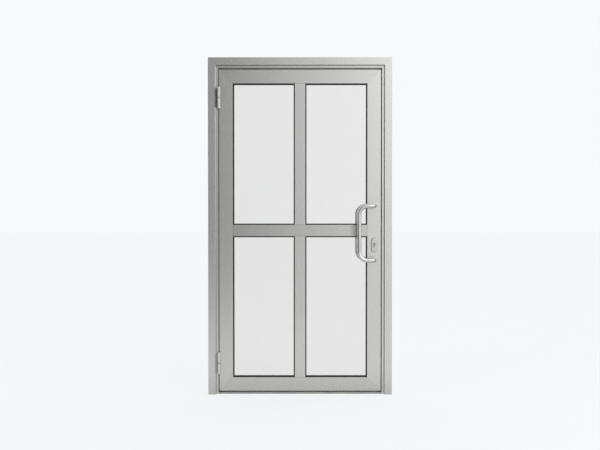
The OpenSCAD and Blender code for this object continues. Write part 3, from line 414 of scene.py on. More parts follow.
def dress(material, *names):
    """Gives CAD nodes a finish in place of the plain one they came with."""
    for name in names:
        slots = nodes[name].data.materials
        slots.clear()
        slots.append(material)
    print(material.name, "on", ", ".join(names))


print("blank finish ready")

# %% [markdown]
# ## Metal
#
# Anodised aluminium, stainless steel, nickel and brass differ in tone and gloss, but on this door they are made alike:
# drawn, brushed or turned, so a grain runs through all of them. One function makes every metal. Its colour moves
# between a pale and a deep tone, and its roughness and relief follow the grain. Joint lines and painted shade are marks
# that are laid over the colour one after the other, and dust comes last and dulls the gloss as well.

# %% Metal
TONE_RANGE = (0.3, 0.7)
METAL_RELIEF = 0.0001
DUST_PALE = (0.62, 0.61, 0.58)
DUST_HEIGHT = 0.35
DUST_DULLS = 0.3


def metal(name, stretch, pale, deep, rough, relief, cloud, share, spread, metallic=1.0, marks=(), dust=0.0, track=None):
    """A grained metal. Its tone is share * streak + (1 - share) * cloud, from deep to pale.

    The streaks' range in spread takes the roughness from its first to its second value. A mark is a group, its values
    and its colour. A track is the name of an attribute that is read in place of Object coordinates."""
    made, tree, shader, position = blank_material(name)
    if track:
        position = put(tree, "ShaderNodeAttribute", attribute_name=track).outputs["Vector"]
    grain = place_group(tree, grain_group, {"Position": position, "Stretch": stretch, "Cloud Scale": cloud})
    tone = calc(tree, "ADD", times(tree, grain["Streak"], share), times(tree, grain["Cloud"], 1 - share))
    colour = blend_colour(tree, ramp(tree, tone, *TONE_RANGE), deep, pale)
    for group, values, shade in marks:
        mask = place_group(tree, group, {"Position": position, **values})[0]
        colour = blend_colour(tree, mask, colour, shade)
    roughness = ramp(tree, grain["Streak"], *spread, *rough, smooth=False)
    if dust:
        dusty = place_group(tree, dust_group, {"Position": position, "Height": DUST_HEIGHT, "Amount": dust})[0]
        colour = blend_colour(tree, dusty, colour, DUST_PALE)
        roughness = calc(tree, "ADD", roughness, times(tree, dusty, DUST_DULLS))
    shader.inputs["Metallic"].default_value = metallic
    coat(tree, shader, colour, roughness, grain["Streak"], relief, METAL_RELIEF)
    return made


print("metal ready")

# %% [markdown]
# ## Anodised aluminium
#
# Frame and leaf are satin anodised: bare metal under a clear, matt oxide skin. Full metal would look too dark in
# shade, because the skin scatters a little light, so the metal share stays just below one. The bars differ only in the
# way their grain runs, in their tone, which some bars have painted darker as shade, and in their marks.

# %% Anodised aluminium
ANODISED = {"pale": (0.682, 0.684, 0.670), "deep": (0.657, 0.659, 0.645), "rough": (0.25, 0.28), "relief": 0.012,
            "cloud": 2.6, "share": 0.45, "spread": (0.25, 0.75), "metallic": 0.92}
GRAIN_ALONG, GRAIN_ACROSS = 14.0, 2200.0
UPRIGHT = (GRAIN_ACROSS, GRAIN_ACROSS, GRAIN_ALONG)
LEVEL = (GRAIN_ALONG, GRAIN_ACROSS, GRAIN_ACROSS)
# The grey that the marks of painted shade lay over the colour.
PAINTED_SHADE_GREY = (0.14, 0.14, 0.135)
JOINT_DARK = (0.10, 0.10, 0.10)
HAIRLINE = 0.0005


def anodised(name, stretch, **changes):
    """Satin anodised aluminium, with the changes that a piece asks for."""
    return metal(name, stretch, **{**ANODISED, **changes})


def painted_shade(group, amount, **shape):
    """A mark of painted shade: grey laid over the colour."""
    return group, {"Amount": amount, **shape}, PAINTED_SHADE_GREY


def mitre(half_width, top, bottom, bar):
    """A mark along the 45 degree cuts of bars that frame an outline."""
    values = {"Half Width": half_width, "Top": top, "Bottom": bottom, "Bar": bar, "Line": HAIRLINE}
    return mitre_group, values, JOINT_DARK


print("aluminium ready")

# %% [markdown]
# ## Frame bars
#
# Jambs and head are one stepped extrusion, mitred at the head. The jambs stand on the floor, so their mitre has no
# lower end. Behind them, clip-on stops carry the seal. The threshold is walked on: its finish is rougher and dustier,
# and its darker tone is painted shade, as is the head's slightly darker tone. Each bar gets its own finish instead of
# one for all, because the grain turns with the bar and the painted shade differs.

# %% Frame bars
FAR_OFF = 9.0
FRAME_BAR = 0.087
FRAME_MITRE = mitre(FRAME_HALF, FRAME_TOP, -FAR_OFF, FRAME_BAR)
# The head's and the threshold's darker tones are painted shade.
HEAD_SHADED_TONES = {"pale": (0.665, 0.667, 0.653), "deep": (0.640, 0.642, 0.628)}
TREAD_WORN_AND_SHADED = {"pale": (0.42, 0.42, 0.41), "deep": (0.36, 0.36, 0.35), "rough": (0.32, 0.44)}
dress(anodised("hinge_jamb_upright", UPRIGHT, dust=0.06, marks=[
    FRAME_MITRE, painted_shade(gap_group, 0.7), painted_shade(step_group, 0.5), painted_shade(hinge_group, 0.9)]), "hinge_jamb")
dress(anodised("lock_jamb_upright", UPRIGHT, dust=0.06, marks=[
    FRAME_MITRE, painted_shade(gap_group, 0.65), painted_shade(step_group, 0.6)]), "lock_jamb")
dress(anodised("head_level", LEVEL, **HEAD_SHADED_TONES, marks=[
    FRAME_MITRE, painted_shade(gap_group, 0.4), painted_shade(step_group, 1.05)]), "head")
dress(anodised("stop_clip_on", UPRIGHT, marks=[FRAME_MITRE]), "door_stops")
dress(anodised("threshold_tread", LEVEL, **TREAD_WORN_AND_SHADED, dust=0.3), "threshold")

# %% [markdown]
# ## Leaf bars
#
# Stiles and rails are mitred at the leaf's four corners, and the rails' darker tone is painted shade. The lock's stile
# carries the plate of the key cylinder with a painted shadow round it. The shadow could be a ring of its own geometry,
# but it has no thickness, so it is a mark too, and its shape is read from the plate's box.

# %% Leaf bars
LEAF_BAR = 0.089
LEAF_MITRE = mitre(LEAF_HALF, LEAF_TOP, LEAF_FOOT, LEAF_BAR)
# The rails' darker tone is painted shade.
RAIL_SHADED_TONES = {"pale": (0.652, 0.654, 0.640), "deep": (0.628, 0.630, 0.616)}
# A painted shadow round the lock's plate, shaped from the plate's box.
plate_low, plate_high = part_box("outside_escutcheon")
plate_middle, plate_half = (plate_low + plate_high) / 2, (plate_high - plate_low) / 2
plate_rim_shadow = painted_shade(rim_shadow_group, 0.6, **{"Centre": tuple(plate_middle), "Radius": plate_half.x,
                                      "Half Run": plate_half.z - plate_half.x, "Reach": 0.0055})
dress(anodised("hinge_stile_upright", UPRIGHT, dust=0.04, marks=[
    LEAF_MITRE, painted_shade(gap_group, 0.65), painted_shade(hinge_group, 0.25)]), "hinge_stile")
dress(anodised("lock_stile_upright", UPRIGHT, dust=0.04, marks=[
    LEAF_MITRE, painted_shade(gap_group, 0.7), plate_rim_shadow]), "lock_stile")
dress(anodised("rail_level", LEVEL, **RAIL_SHADED_TONES, dust=0.04, marks=[
    LEAF_MITRE, painted_shade(gap_group, 0.5)]), "top_rail", "bottom_rail")

# %% [markdown]
# ## Cross bars
#
# The middle rail is butted between the stiles, and the two mullions between the rails. The end lines could be typed in,
# but read from the bars' boxes they sit right whatever the bars measure. The middle rail's darker tone is painted
# shade. It passes behind the grip, where the grip's painted shadow covers the whole height, so that shadow's shape is
# simply longer than the bar is high.

# %% Cross bars
GLASS_LIP = 0.022
BUTT_LINE = 0.0022
ACROSS, UP = (1.0, 0.0, 0.0), (0.0, 0.0, 1.0)
# The middle rail's darker tone is painted shade.
MID_RAIL_SHADED_TONES = {"pale": (0.610, 0.612, 0.598), "deep": (0.587, 0.589, 0.575)}


def butt_joint(axis, first, last, lip, line):
    """A mark across a bar's two ends, given along an axis."""
    return bar_end_group, {"Axis": axis, "Start": first, "End": last, "Lip": lip, "Line": line}, JOINT_DARK


def bar_ends(name, axis):
    """The end lines of a cross bar, from its box."""
    low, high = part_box(name)
    return butt_joint(axis, Vector(axis).dot(low), Vector(axis).dot(high), GLASS_LIP, BUTT_LINE)


# The grip's painted shadow on the middle rail, more on its left.
grip_low, grip_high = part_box("outside_handle")
grip_shadow = painted_shade(rim_shadow_group, 0.45, **{"Centre": (grip_low.x, 0.0, (grip_low.z + grip_high.z) / 2), "Radius": 0.0,
                                      "Half Run": 1.0, "Reach": 0.050})
dress(anodised("mid_rail_level", LEVEL, **MID_RAIL_SHADED_TONES, marks=[bar_ends("mid_rail", ACROSS), grip_shadow]), "mid_rail")
for bar in ("upper_mullion", "lower_mullion"):
    dress(anodised(f"{bar}_upright", UPRIGHT, marks=[bar_ends(bar, UP)]), bar)

# %% [markdown]
# ## Beads and hidden aluminium
#
# The glazing beads run round each pane on the room side, so a grain with one direction would be wrong on half of each.
# An even, fine grain suits all four sides. Cleats, connectors, spacers and plugs are never seen once the door is built:
# they are left as the mill delivers them, bluer, rougher and saw-marked.

# %% Beads and hidden aluminium
SAW_MARKS = (60.0, 60.0, 700.0)
MILL = {"pale": (0.68, 0.69, 0.70), "deep": (0.58, 0.59, 0.60), "rough": (0.35, 0.5)}


def even(scale):
    """A grain that runs no way."""
    return (scale, scale, scale)


dress(anodised("bead_satin", even(900.0)), "beads_upper_left", "beads_upper_right", "beads_lower_left",
      "beads_lower_right")
dress(anodised("mill_bare", SAW_MARKS, **MILL), "frame_cleats", "leaf_cleats", "tee_connectors", "spacer_frames",
      "handle_plugs")

# %% [markdown]
# ## Hinges
#
# Each hinge is two flags with half a barrel each, turned, so their grain runs round them. The halves meet at half
# height in a joint that a person sees as a dark ring, although the gap itself is thinner than a point of the picture.
# The ring is one more end line: the leaf's half begins there, and the frame's half ends there. The upper hinge looks
# darker than the lower one, more than the light explains, so each has tones of its own, matched one by one: the upper
# hinge's darker tones are painted shade, the lower hinge's lighter ones painted light.

# %% Hinges
TURNED = (300.0, 300.0, 1400.0)
HINGE_ROUGH = (0.25, 0.31)
HINGE_RING = 0.0036
# The upper hinge's tones are painted shade, the lower hinge's painted light.
TOP_HINGE_SHADED_TONES = {"pale": (0.54, 0.54, 0.53), "deep": (0.49, 0.49, 0.48)}
BOTTOM_HINGE_LIT_TONES = {"pale": (0.72, 0.72, 0.71), "deep": (0.66, 0.66, 0.65)}
for hinge, height, tones in zip(("bottom_hinge", "top_hinge"), HINGE_HEIGHTS, (BOTTOM_HINGE_LIT_TONES, TOP_HINGE_SHADED_TONES)):
    for flag, first, last in (("leaf_flag", height, FAR_OFF), ("frame_flag", -FAR_OFF, height)):
        ring = butt_joint(UP, first, last, 0.0, HINGE_RING)
        dress(anodised(f"{hinge}_{flag}_satin", TURNED, rough=HINGE_ROUGH, marks=[ring], **tones), f"{hinge}_{flag}")

# %% [markdown]
# ## Steel, nickel and brass
#
# The lock's plates are brushed stainless steel, the screws and the lock case are zinc plated, the bolt is nickel
# plated, the key cylinder is dark nickel, and the cam is turned brass. They are full metals with a finer grain than
# the bars, so the metal function serves again, with a direction and a pair of tones for each.

# %% Small metal finishes
PLATED = {"relief": 0.05, "cloud": 30.0, "share": 0.5, "spread": (0.2, 0.8)}
BRUSHED_UP = (2600.0, 2600.0, 40.0)
DRAWN_DEEP = (400.0, 60.0, 400.0)


def plated(name, stretch, pale, deep, rough, **changes):
    """A small full metal, with the changes that a piece asks for."""
    return metal(name, stretch, pale, deep, rough, **{**PLATED, **changes})


zinc_plate = plated("zinc_plate", even(500.0), (0.62, 0.64, 0.66), (0.48, 0.51, 0.54), (0.3, 0.46), cloud=90.0)
dress(zinc_plate, "threshold_screws", "hinge_pins", "handle_studs", "lock_case", "latch_slide")
dress(plated("stainless_plate", BRUSHED_UP, (0.66, 0.66, 0.65), (0.58, 0.58, 0.57), (0.22, 0.34)),
      "strike_plate", "lock_faceplate")
dress(plated("shield_satin", BRUSHED_UP, (0.66, 0.66, 0.655), (0.60, 0.60, 0.595), (0.22, 0.30)),
      "outside_escutcheon", "inside_escutcheon")
dress(plated("nickel_plate", DRAWN_DEEP, (0.64, 0.63, 0.60), (0.55, 0.54, 0.51), (0.18, 0.28)), "deadbolt")
dress(plated("dark_nickel", even(900.0), (0.42, 0.415, 0.40), (0.34, 0.335, 0.32), (0.3, 0.42)),
      "cylinder_body", "outside_key_plug", "inside_key_plug")
dress(plated("turned_brass", even(2400.0), (0.76, 0.60, 0.33), (0.62, 0.47, 0.24), (0.2, 0.34)), "lock_cam")

# %% [markdown]
# ## Moulded skin
#
# Rubber and nylon come out of a mould or a die with a fine, even skin, and glass always carries a trace of haze. All
# three need the same two noises, a fine one and a wide one, so these are one group.

# %% Skin group
SKIN_NOISE = {"Detail": 4.0, "Roughness": 0.55}
HAZE_NOISE = {"Scale": 9.0, "Detail": 2.0}
skin_group, given, result = start_group(
    "moulded_skin", {"Position": VECTOR, "Size": FLOAT}, {"Skin": FLOAT, "Cloud": FLOAT})
fine = put(skin_group, "ShaderNodeTexNoise", {"Vector": given["Position"], "Scale": given["Size"], **SKIN_NOISE})
wide = put(skin_group, "ShaderNodeTexNoise", {"Vector": given["Position"], **HAZE_NOISE})
skin_group.links.new(fine.outputs[0], result["Skin"])
skin_group.links.new(wide.outputs[0], result["Cloud"])
print("group", skin_group.name)

# %% [markdown]
# ## Rubber and nylon
#
# Gaskets and seals are black rubber, caps, blocks and the latch roller are black nylon: dark, matt and even. Plain
# black would swallow their edges, so the colour is a very dark grey that moves a little, and the skin gives the relief.

# %% Rubber and nylon
SKIN_STRENGTH = 0.15
SKIN_RELIEF = 0.0002


def moulded(name, pale, deep, rough, size):
    """A dark moulded finish whose colour follows the clouds, and its roughness and relief the skin."""
    made, tree, shader, position = blank_material(name)
    skin = place_group(tree, skin_group, {"Position": position, "Size": size})
    colour = blend_colour(tree, skin["Cloud"], deep, pale)
    roughness = ramp(tree, skin["Skin"], *TONE_RANGE, *rough, smooth=False)
    coat(tree, shader, colour, roughness, skin["Skin"], SKIN_STRENGTH, SKIN_RELIEF)
    return made


black_nylon = moulded("black_nylon", (0.040, 0.040, 0.042), (0.022, 0.022, 0.024), (0.42, 0.58), 900.0)
dress(black_nylon, "fixing_caps", "setting_blocks", "latch_roller")
dress(moulded("black_rubber", (0.020, 0.020, 0.021), (0.010, 0.010, 0.011), (0.55, 0.75), 1600.0),
      "stop_seal", "outer_gaskets", "inner_gaskets")

# %% [markdown]
# ## Glass
#
# A glass unit has two panes with air between them. A thin, transparent sheet would be quicker to render, but each pane
# is a real, closed slab here, so plain transmission bends the light on its way in and out. A faint tint in each pane
# gives the slight loss of light that makes double glazing look grey before white.

# %% Glass
GLASS_TINT = (0.932, 0.923, 0.916)
GLASS_HAZE = (0.919, 0.910, 0.903)
GLASS_IOR = 1.45
HAZE_SIZE = 14.0
clear_glass, tree, shader, position = blank_material("clear_glass")
haze = place_group(tree, skin_group, {"Position": position, "Size": HAZE_SIZE})["Cloud"]
tree.links.new(blend_colour(tree, haze, GLASS_HAZE, GLASS_TINT), shader.inputs["Base Color"])
shader.inputs["Roughness"].default_value = 0.0
shader.inputs["IOR"].default_value = GLASS_IOR
shader.inputs["Transmission Weight"].default_value = 1.0
dress(clear_glass, "glass_upper_left", "glass_upper_right", "glass_lower_left", "glass_lower_right")

# %% [markdown]
# ## Surfaces from formulas
#
# A new piece is a grid of points, worked out as whole arrays: row by row along one parameter and column by column
# along the other. Blender's own primitives would need many edits to reach these shapes. The faces only depend on the
# size of the grid, so one function makes them for every piece, and a shape that is needed many times is set down as
# copies in one array.

# %% Grid helpers
def grid_faces(rows, columns, close_rows=False, close_columns=False):
    """Four-cornered faces of a grid that is stored row by row; a closed side joins its last line to its first."""
    i, j = np.meshgrid(np.arange(rows - (not close_rows)), np.arange(columns - (not close_columns)), indexing="ij")
    down, right = (i + 1) % rows, (j + 1) % columns
    corners = (i * columns + j, i * columns + right, down * columns + right, down * columns + j)
    return np.stack(corners, axis=-1).reshape(-1, 4)


def circle(steps):
    """Angles of a closed ring: equal steps from 0 up to, but without, a full turn."""
    return np.linspace(0, 2 * np.pi, steps, endpoint=False)


def copies(points, faces, places):
    """One shape set down at many places: each place is added to all points, and the faces are counted on."""
    many = (points[None] + places[:, None]).reshape(-1, 3)
    step = len(points) * np.arange(len(places))
    return many, (faces[None] + step[:, None, None]).reshape(-1, faces.shape[1])


print("grid helpers ready")

# %% [markdown]
# ## From arrays to a piece
#
# A mesh takes points and faces as lists. Points could also be added one by one, but that is slow for thousands of
# bristles. The object stays at the origin with its place in its mesh, as the CAD pieces do, rides on a body of the
# frame, and hides the CAD node it stands for.

# %% New piece
SAME_PLACE = 1e-7


def new_piece(name, points, faces, material, body, slot, replaced, smooth=True, track=None):
    """An object from points and faces that stands for a CAD node; track is a vector that the finish can read.

    Points that share one place are merged, so a ring of no radius becomes a pole and closes the surface there."""
    mesh = bpy.data.meshes.new(name)
    mesh.from_pydata(points.tolist(), [], faces.tolist())
    shell = bmesh.new()
    shell.from_mesh(mesh)
    bmesh.ops.remove_doubles(shell, verts=shell.verts, dist=SAME_PLACE)
    shell.to_mesh(mesh)
    shell.free()
    mesh.polygons.foreach_set("use_smooth", np.full(len(mesh.polygons), smooth))
    if track is not None:
        mesh.attributes.new("track", "FLOAT_VECTOR", "POINT").data.foreach_set("vector", track.ravel())
    mesh.materials.append(material)
    mesh.update()
    piece = bpy.data.objects.new(name, mesh)
    bpy.context.scene.collection.objects.link(piece)
    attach(piece, body)
    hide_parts(replaced)
    print(name, len(mesh.vertices), "points", len(mesh.polygons), "faces")
    return piece


print("piece helper ready")

# %% [markdown]
# ## Pull handles
#
# Each handle is one stainless tube with four bends. A curve object with a round bevel would give such a tube, but not
# the distance along it, which the polish below needs. So a ring is carried along the tube's centre line, which is
# worked out here from the box of the handle's solid: straight out of the leaf, into the arm, into the grip, and back.

# %% Handle centre line
TUBE_RADIUS = 0.015
GRIP_BEND = 0.055
MOUNT_BEND = 0.032
BEND_STEPS = 20


def quarter(centre, first, second, radius):
    """Points and directions of a quarter bend, from centre + radius*first to centre + radius*second."""
    turn = np.linspace(0, np.pi / 2, BEND_STEPS)[:, None]
    spot = centre + radius * (np.cos(turn) * first + np.sin(turn) * second)
    return spot, -np.sin(turn) * first + np.cos(turn) * second


def centre_line(low, high):
    """The handle's centre line between the corners of its box, as points, directions and side vectors.

    The side vector lies in the plane of each bend, or square to it, so it never jumps along the tube."""
    x, y, z = np.eye(3)
    grip_x, mount_x = low.x + TUBE_RADIUS, high.x - TUBE_RADIUS
    axis_y, face_y = low.y + TUBE_RADIUS, high.y
    bottom, top = low.z + TUBE_RADIUS, high.z - TUBE_RADIUS
    turn_y = axis_y + MOUNT_BEND
    bends = [quarter(np.array([mount_x - MOUNT_BEND, turn_y, bottom]), x, -y, MOUNT_BEND),
             quarter(np.array([grip_x + GRIP_BEND, axis_y, bottom + GRIP_BEND]), -z, -x, GRIP_BEND),
             quarter(np.array([grip_x + GRIP_BEND, axis_y, top - GRIP_BEND]), -x, z, GRIP_BEND),
             quarter(np.array([mount_x - MOUNT_BEND, turn_y, top]), -y, x, MOUNT_BEND)]
    first, last = np.array([[mount_x, face_y, bottom]]), np.array([[mount_x, face_y, top]])
    spots = np.concatenate([first, *[spot for spot, way in bends], last])
    ways = np.concatenate([-y[None], *[way for spot, way in bends], y[None]])
    hub = np.zeros_like(ways)
    hub[: BEND_STEPS + 1] = z
    hub[-BEND_STEPS - 1:] = -z
    sides = np.cross(hub, ways)
    sides[BEND_STEPS + 1: -BEND_STEPS - 1] = -y
    return spots, ways, sides


line_spots, line_ways, line_sides = centre_line(*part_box("outside_handle"))
print("centre line of", len(line_spots), "points")

# %% [markdown]
# ## The tube
#
# A solid rod would look the same from most sides, but its ends would be wrong where the studs enter. So the ring is
# carried forwards along the tube's outside and back along its inside, and joined at both ends: the tube has a
# thickness and no open edge. Every point also keeps a track: its distance along the tube, and its place round it.

# %% Tube
TUBE_THICKNESS = 0.002
AROUND = 48


def swept_tube(spots, ways, sides):
    """A tube round a centre line: its outside forwards, its inside back, joined at both ends.

    A point is centre + r*(cos(a)*side + sin(a)*other), where other is square to the side and to the direction."""
    others = np.cross(ways, sides)
    run = np.concatenate([[0], np.cumsum(np.linalg.norm(np.diff(spots, axis=0), axis=1))])
    angle = circle(AROUND)
    ring = np.cos(angle)[None, :, None] * sides[:, None] + np.sin(angle)[None, :, None] * others[:, None]
    outer = spots[:, None] + TUBE_RADIUS * ring
    inner = (spots[:, None] + (TUBE_RADIUS - TUBE_THICKNESS) * ring)[::-1]
    points = np.concatenate([outer, inner]).reshape(-1, 3)
    track = np.stack(np.broadcast_arrays(run[:, None], np.cos(angle), np.sin(angle)), axis=-1)
    track = np.concatenate([track, track[::-1]]).reshape(-1, 3)
    return points, grid_faces(2 * len(spots), AROUND, True, True), track


tube_points, tube_faces, tube_track = swept_tube(line_spots, line_ways, line_sides)
print("tube length", round(float(tube_track[:, 0].max()), 3), "m")

# %% [markdown]
# ## Polish of the handles
#
# The tubes are belt-polished, so fine lines run round them, through the bends as well. A pattern on Object coordinates
# can't follow a bend, so the metal reads the track instead: squeezed along the tube, and nearly even round it. The
# inside handle's tones are painted darker than the street one's, as shade. It is the same tube, mirrored, and a
# mirrored mesh is inside out, so its faces are turned round again.

# %% Handles
POLISH = {"rough": (0.11, 0.18), "relief": 0.08, "cloud": 3.0, "share": 0.6, "spread": (0.25, 0.75), "track": "track"}
ROUND_TUBE = (2600.0, 5.0, 5.0)
polished_tube = metal("polished_tube", ROUND_TUBE, (0.64, 0.64, 0.63), (0.58, 0.58, 0.57), **POLISH)
# The inside handle's darker tones are painted shade.
shaded_tube = metal("shaded_tube", ROUND_TUBE, (0.48, 0.48, 0.47), (0.42, 0.42, 0.41), **POLISH)
new_piece("outside_pull", tube_points, tube_faces, polished_tube, "leaf", "stainless", "outside_handle",
          track=tube_track)
new_piece("inside_pull", tube_points * (1, -1, 1), tube_faces[:, ::-1], shaded_tube, "leaf", "stainless",
          "inside_handle", track=tube_track)

# %% [markdown]
# ## Screw
#
# The screws of the hinges and of the lock are countersunk, with a cross recess. They only show when the door is
# open, but then they are what tells metal hardware from a toy. Cutting the recess with a boolean would leave untidy
# faces. A screw is a surface of revolution, so the recess is pressed into its head: wherever a point of the head lies
# in one of the two arms of the cross, it sinks.

# %% Screw shape
SCREW_TURN = 64
HEAD_RINGS = 14
HEAD_RADIUS = 0.00399
HEAD_HEIGHT = 0.00189
HEAD_ROUND = 0.0003
RIM_DEPTHS = (0.0002, 0.0004)
SHANK_RADIUS = 0.0021
POINT_LENGTH = 0.001
ARM_LENGTH = 0.0026
ARM_HALF = 0.00055
ARM_SLOPE = 0.0003
RECESS_DEPTH = 0.0013


def crossed_screw(length):
    """A screw along -Z with its head's face at the origin, as points on rings and their faces.

    Each ring has a radius and a depth. On the head's face the depth grows by the recess, which falls off over a
    short slope at the edges of the arms: |x| or |y| below the half width, and radius below the arm's length."""
    face_radii = np.linspace(0.0, HEAD_RADIUS - HEAD_ROUND, HEAD_RINGS)
    radii = np.concatenate([face_radii, [HEAD_RADIUS, HEAD_RADIUS, SHANK_RADIUS, SHANK_RADIUS, 0.0]])
    depth = np.concatenate([np.zeros(HEAD_RINGS), [*RIM_DEPTHS, HEAD_HEIGHT, length - POINT_LENGTH, length]])
    angle = circle(SCREW_TURN)
    x, y = radii[:, None] * np.cos(angle), radii[:, None] * np.sin(angle)
    in_arm = np.clip((ARM_HALF - np.minimum(np.abs(x), np.abs(y))) / ARM_SLOPE + 1, 0, 1)
    in_reach = np.clip((ARM_LENGTH - radii[:, None]) / ARM_SLOPE, 0, 1)
    sink = RECESS_DEPTH * in_arm * in_reach * (np.arange(len(radii)) < HEAD_RINGS)[:, None]
    points = np.stack([x, y, -depth[:, None] - sink], axis=-1).reshape(-1, 3)
    return points, grid_faces(len(radii), SCREW_TURN, close_columns=True)[:, ::-1]


print("screw of", len(crossed_screw(1.0)[0]), "points")

# %% [markdown]
# ## Screws in place
#
# Four screws hold each hinge flag, two each plate of the lock, and one long screw the key cylinder. Linked copies would
# be many objects, while one mesh for each row rides on its body as one piece. The shape is turned to look along X and
# set down at every place.

# %% Screws in place
SCREW_LENGTH = 0.014
CYLINDER_SCREW_LENGTH = 0.0445
CYLINDER_SCREW_HEIGHT = 0.9655
FLAG_SCREW_UP = 0.045
FLAG_SCREW_OUT = 0.0185
LEAF_EDGE = 0.529
REBATE = 0.535
FLAG = 0.0025


def screw_row(name, node, facing, places, body, length=SCREW_LENGTH):
    """Screws with their heads at places; facing is +1 or -1 along X, the way the heads look."""
    points, faces = crossed_screw(length)
    turned = np.stack([points[:, 2] * facing, points[:, 1], points[:, 0] * -facing], axis=-1)
    many, many_faces = copies(turned, faces, np.array(places))
    new_piece(name, many, many_faces, zinc_plate, body, "zinc_steel", node)


def hinge_places(x):
    """The four screw places of each hinge flag at x."""
    return [(x, y, z + dz) for z in HINGE_HEIGHTS for dz in (-FLAG_SCREW_UP, FLAG_SCREW_UP)
            for y in (-FLAG_SCREW_OUT, FLAG_SCREW_OUT)]


def end_places(node, x):
    """The two places of a plate's end screws, from the box of their CAD node."""
    low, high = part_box(node)
    return [(x, 0, low.z + HEAD_RADIUS), (x, 0, high.z - HEAD_RADIUS)]


screw_row("frame_flag_screws", "hinge_frame_screws", 1, hinge_places(FLAG - REBATE), "frame")
screw_row("leaf_flag_screws", "hinge_leaf_screws", -1, hinge_places(-LEAF_EDGE - FLAG), "leaf")
screw_row("strike_plate_screws", "strike_screws", -1, end_places("strike_screws", REBATE), "frame")
screw_row("lock_plate_screws", "faceplate_screws", 1, end_places("faceplate_screws", LEAF_EDGE), "leaf")
screw_row("cylinder_fixing_screw", "cylinder_screw", 1, [(LEAF_EDGE, 0, CYLINDER_SCREW_HEIGHT)], "leaf",
          length=CYLINDER_SCREW_LENGTH)

# %% [markdown]
# ## Hinge washers
#
# The washer in a hinge carries the leaf. It is turned from dark bronze with a rounded rim, and a film of grease keeps
# it a hair off both knuckles. A torus would be too round, so a section is carried round the pin: a slab whose outer
# edge is a half circle.

# %% Hinge washers
WASHER_HALF = 0.00045
WASHER_RIM = 0.0084
WASHER_BORE = 0.0047
RIM_STEPS = 9
WASHER_TURN = 64


def turned_washer(rim, bore, half):
    """A ring about Z: its section is a slab from the bore to the rim, whose outer edge is a half circle.

    A point is (r*cos(a), r*sin(a), z), where r and z run round the section."""
    arc = np.linspace(-np.pi / 2, np.pi / 2, RIM_STEPS)
    radius = np.concatenate([[bore], rim - half + half * np.cos(arc), [bore]])
    height = np.concatenate([[-half], half * np.sin(arc), [half]])
    angle = circle(WASHER_TURN)[:, None]
    across = np.broadcast_arrays(radius * np.cos(angle), radius * np.sin(angle), height)
    return np.stack(across, axis=-1).reshape(-1, 3), grid_faces(WASHER_TURN, len(radius), True, True)[:, ::-1]


bearing_bronze = plated("bearing_bronze", even(1500.0), (0.28, 0.21, 0.12), (0.18, 0.14, 0.08), (0.4, 0.55))
washer_low, washer_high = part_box("hinge_washers")
washer_x, washer_y = (washer_low.x + washer_high.x) / 2, (washer_low.y + washer_high.y) / 2
washer_places = np.array([(washer_x, washer_y, z) for z in HINGE_HEIGHTS])
new_piece("bearing_washers", *copies(*turned_washer(WASHER_RIM, WASHER_BORE, WASHER_HALF), washer_places),
          bearing_bronze, "frame", "brass", "hinge_washers", smooth=False)

# %% [markdown]
# ## Latch spring
#
# The spring behind the roller latch is wound from steel wire. A screw modifier could wind it, but its ends would stay
# open and its pitch the same all along, while a real spring has closed ends. So a small ring is carried along a helix
# whose pitch changes. It is made at its free length, with a mesh of its own.

# %% Latch spring
WIRE_RADIUS = 0.0006
SPRING_TURNS = 8
SPRING_STEPS = 32
WIRE_SIDES = 10


def coil_spring(low, high):
    """A wire along a helix about X, with closed ends: the first and the last turn advance by the wire's thickness.

    A point is helix + wire*(cos(b)*outwards + sin(b)*X), with the pitch from straight pieces between the turns. The
    wire is pinched at its two cut ends."""
    length, middle = high.x - low.x, ((low.y + high.y) / 2, (low.z + high.z) / 2)
    reach = (high.y - low.y) / 2 - WIRE_RADIUS
    turn = np.linspace(0, SPRING_TURNS, SPRING_TURNS * SPRING_STEPS + 1)
    stops = np.array([WIRE_RADIUS, 3 * WIRE_RADIUS, length - 3 * WIRE_RADIUS, length - WIRE_RADIUS])
    along = low.x + np.interp(turn, [0, 1, SPRING_TURNS - 1, SPRING_TURNS], stops)
    way = 2 * np.pi * turn[:, None]
    ring = circle(WIRE_SIDES)[None]
    thick = WIRE_RADIUS * np.minimum(1, np.minimum(turn, SPRING_TURNS - turn) * SPRING_STEPS)[:, None]
    far = reach + thick * np.cos(ring)
    x = along[:, None] + thick * np.sin(ring)
    points = np.stack([x, middle[0] + far * np.cos(way), middle[1] + far * np.sin(way)], axis=-1)
    return points.reshape(-1, 3), grid_faces(len(turn), WIRE_SIDES, close_columns=True)[:, ::-1]


spring_low, spring_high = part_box("latch_spring")
latch_coil = new_piece("latch_coil", *coil_spring(spring_low, spring_high), zinc_plate, "leaf", "zinc_steel",
                       "latch_spring")
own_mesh(latch_coil)

# %% [markdown]
# ## Brush strip
#
# A brush closes the gap under the leaf. Its strip slides in a groove of the bottom rail. A cube with a bevel would do
# for it, but the bristles are arrays already, and one mesh is to hold both. So the strip is a profile with eight
# corners that is carried from end to end, and drawn together to a point at both ends to close it.

# %% Brush strip
STRIP_HEIGHT = 0.003
STRIP_CHAMFER = 0.0008


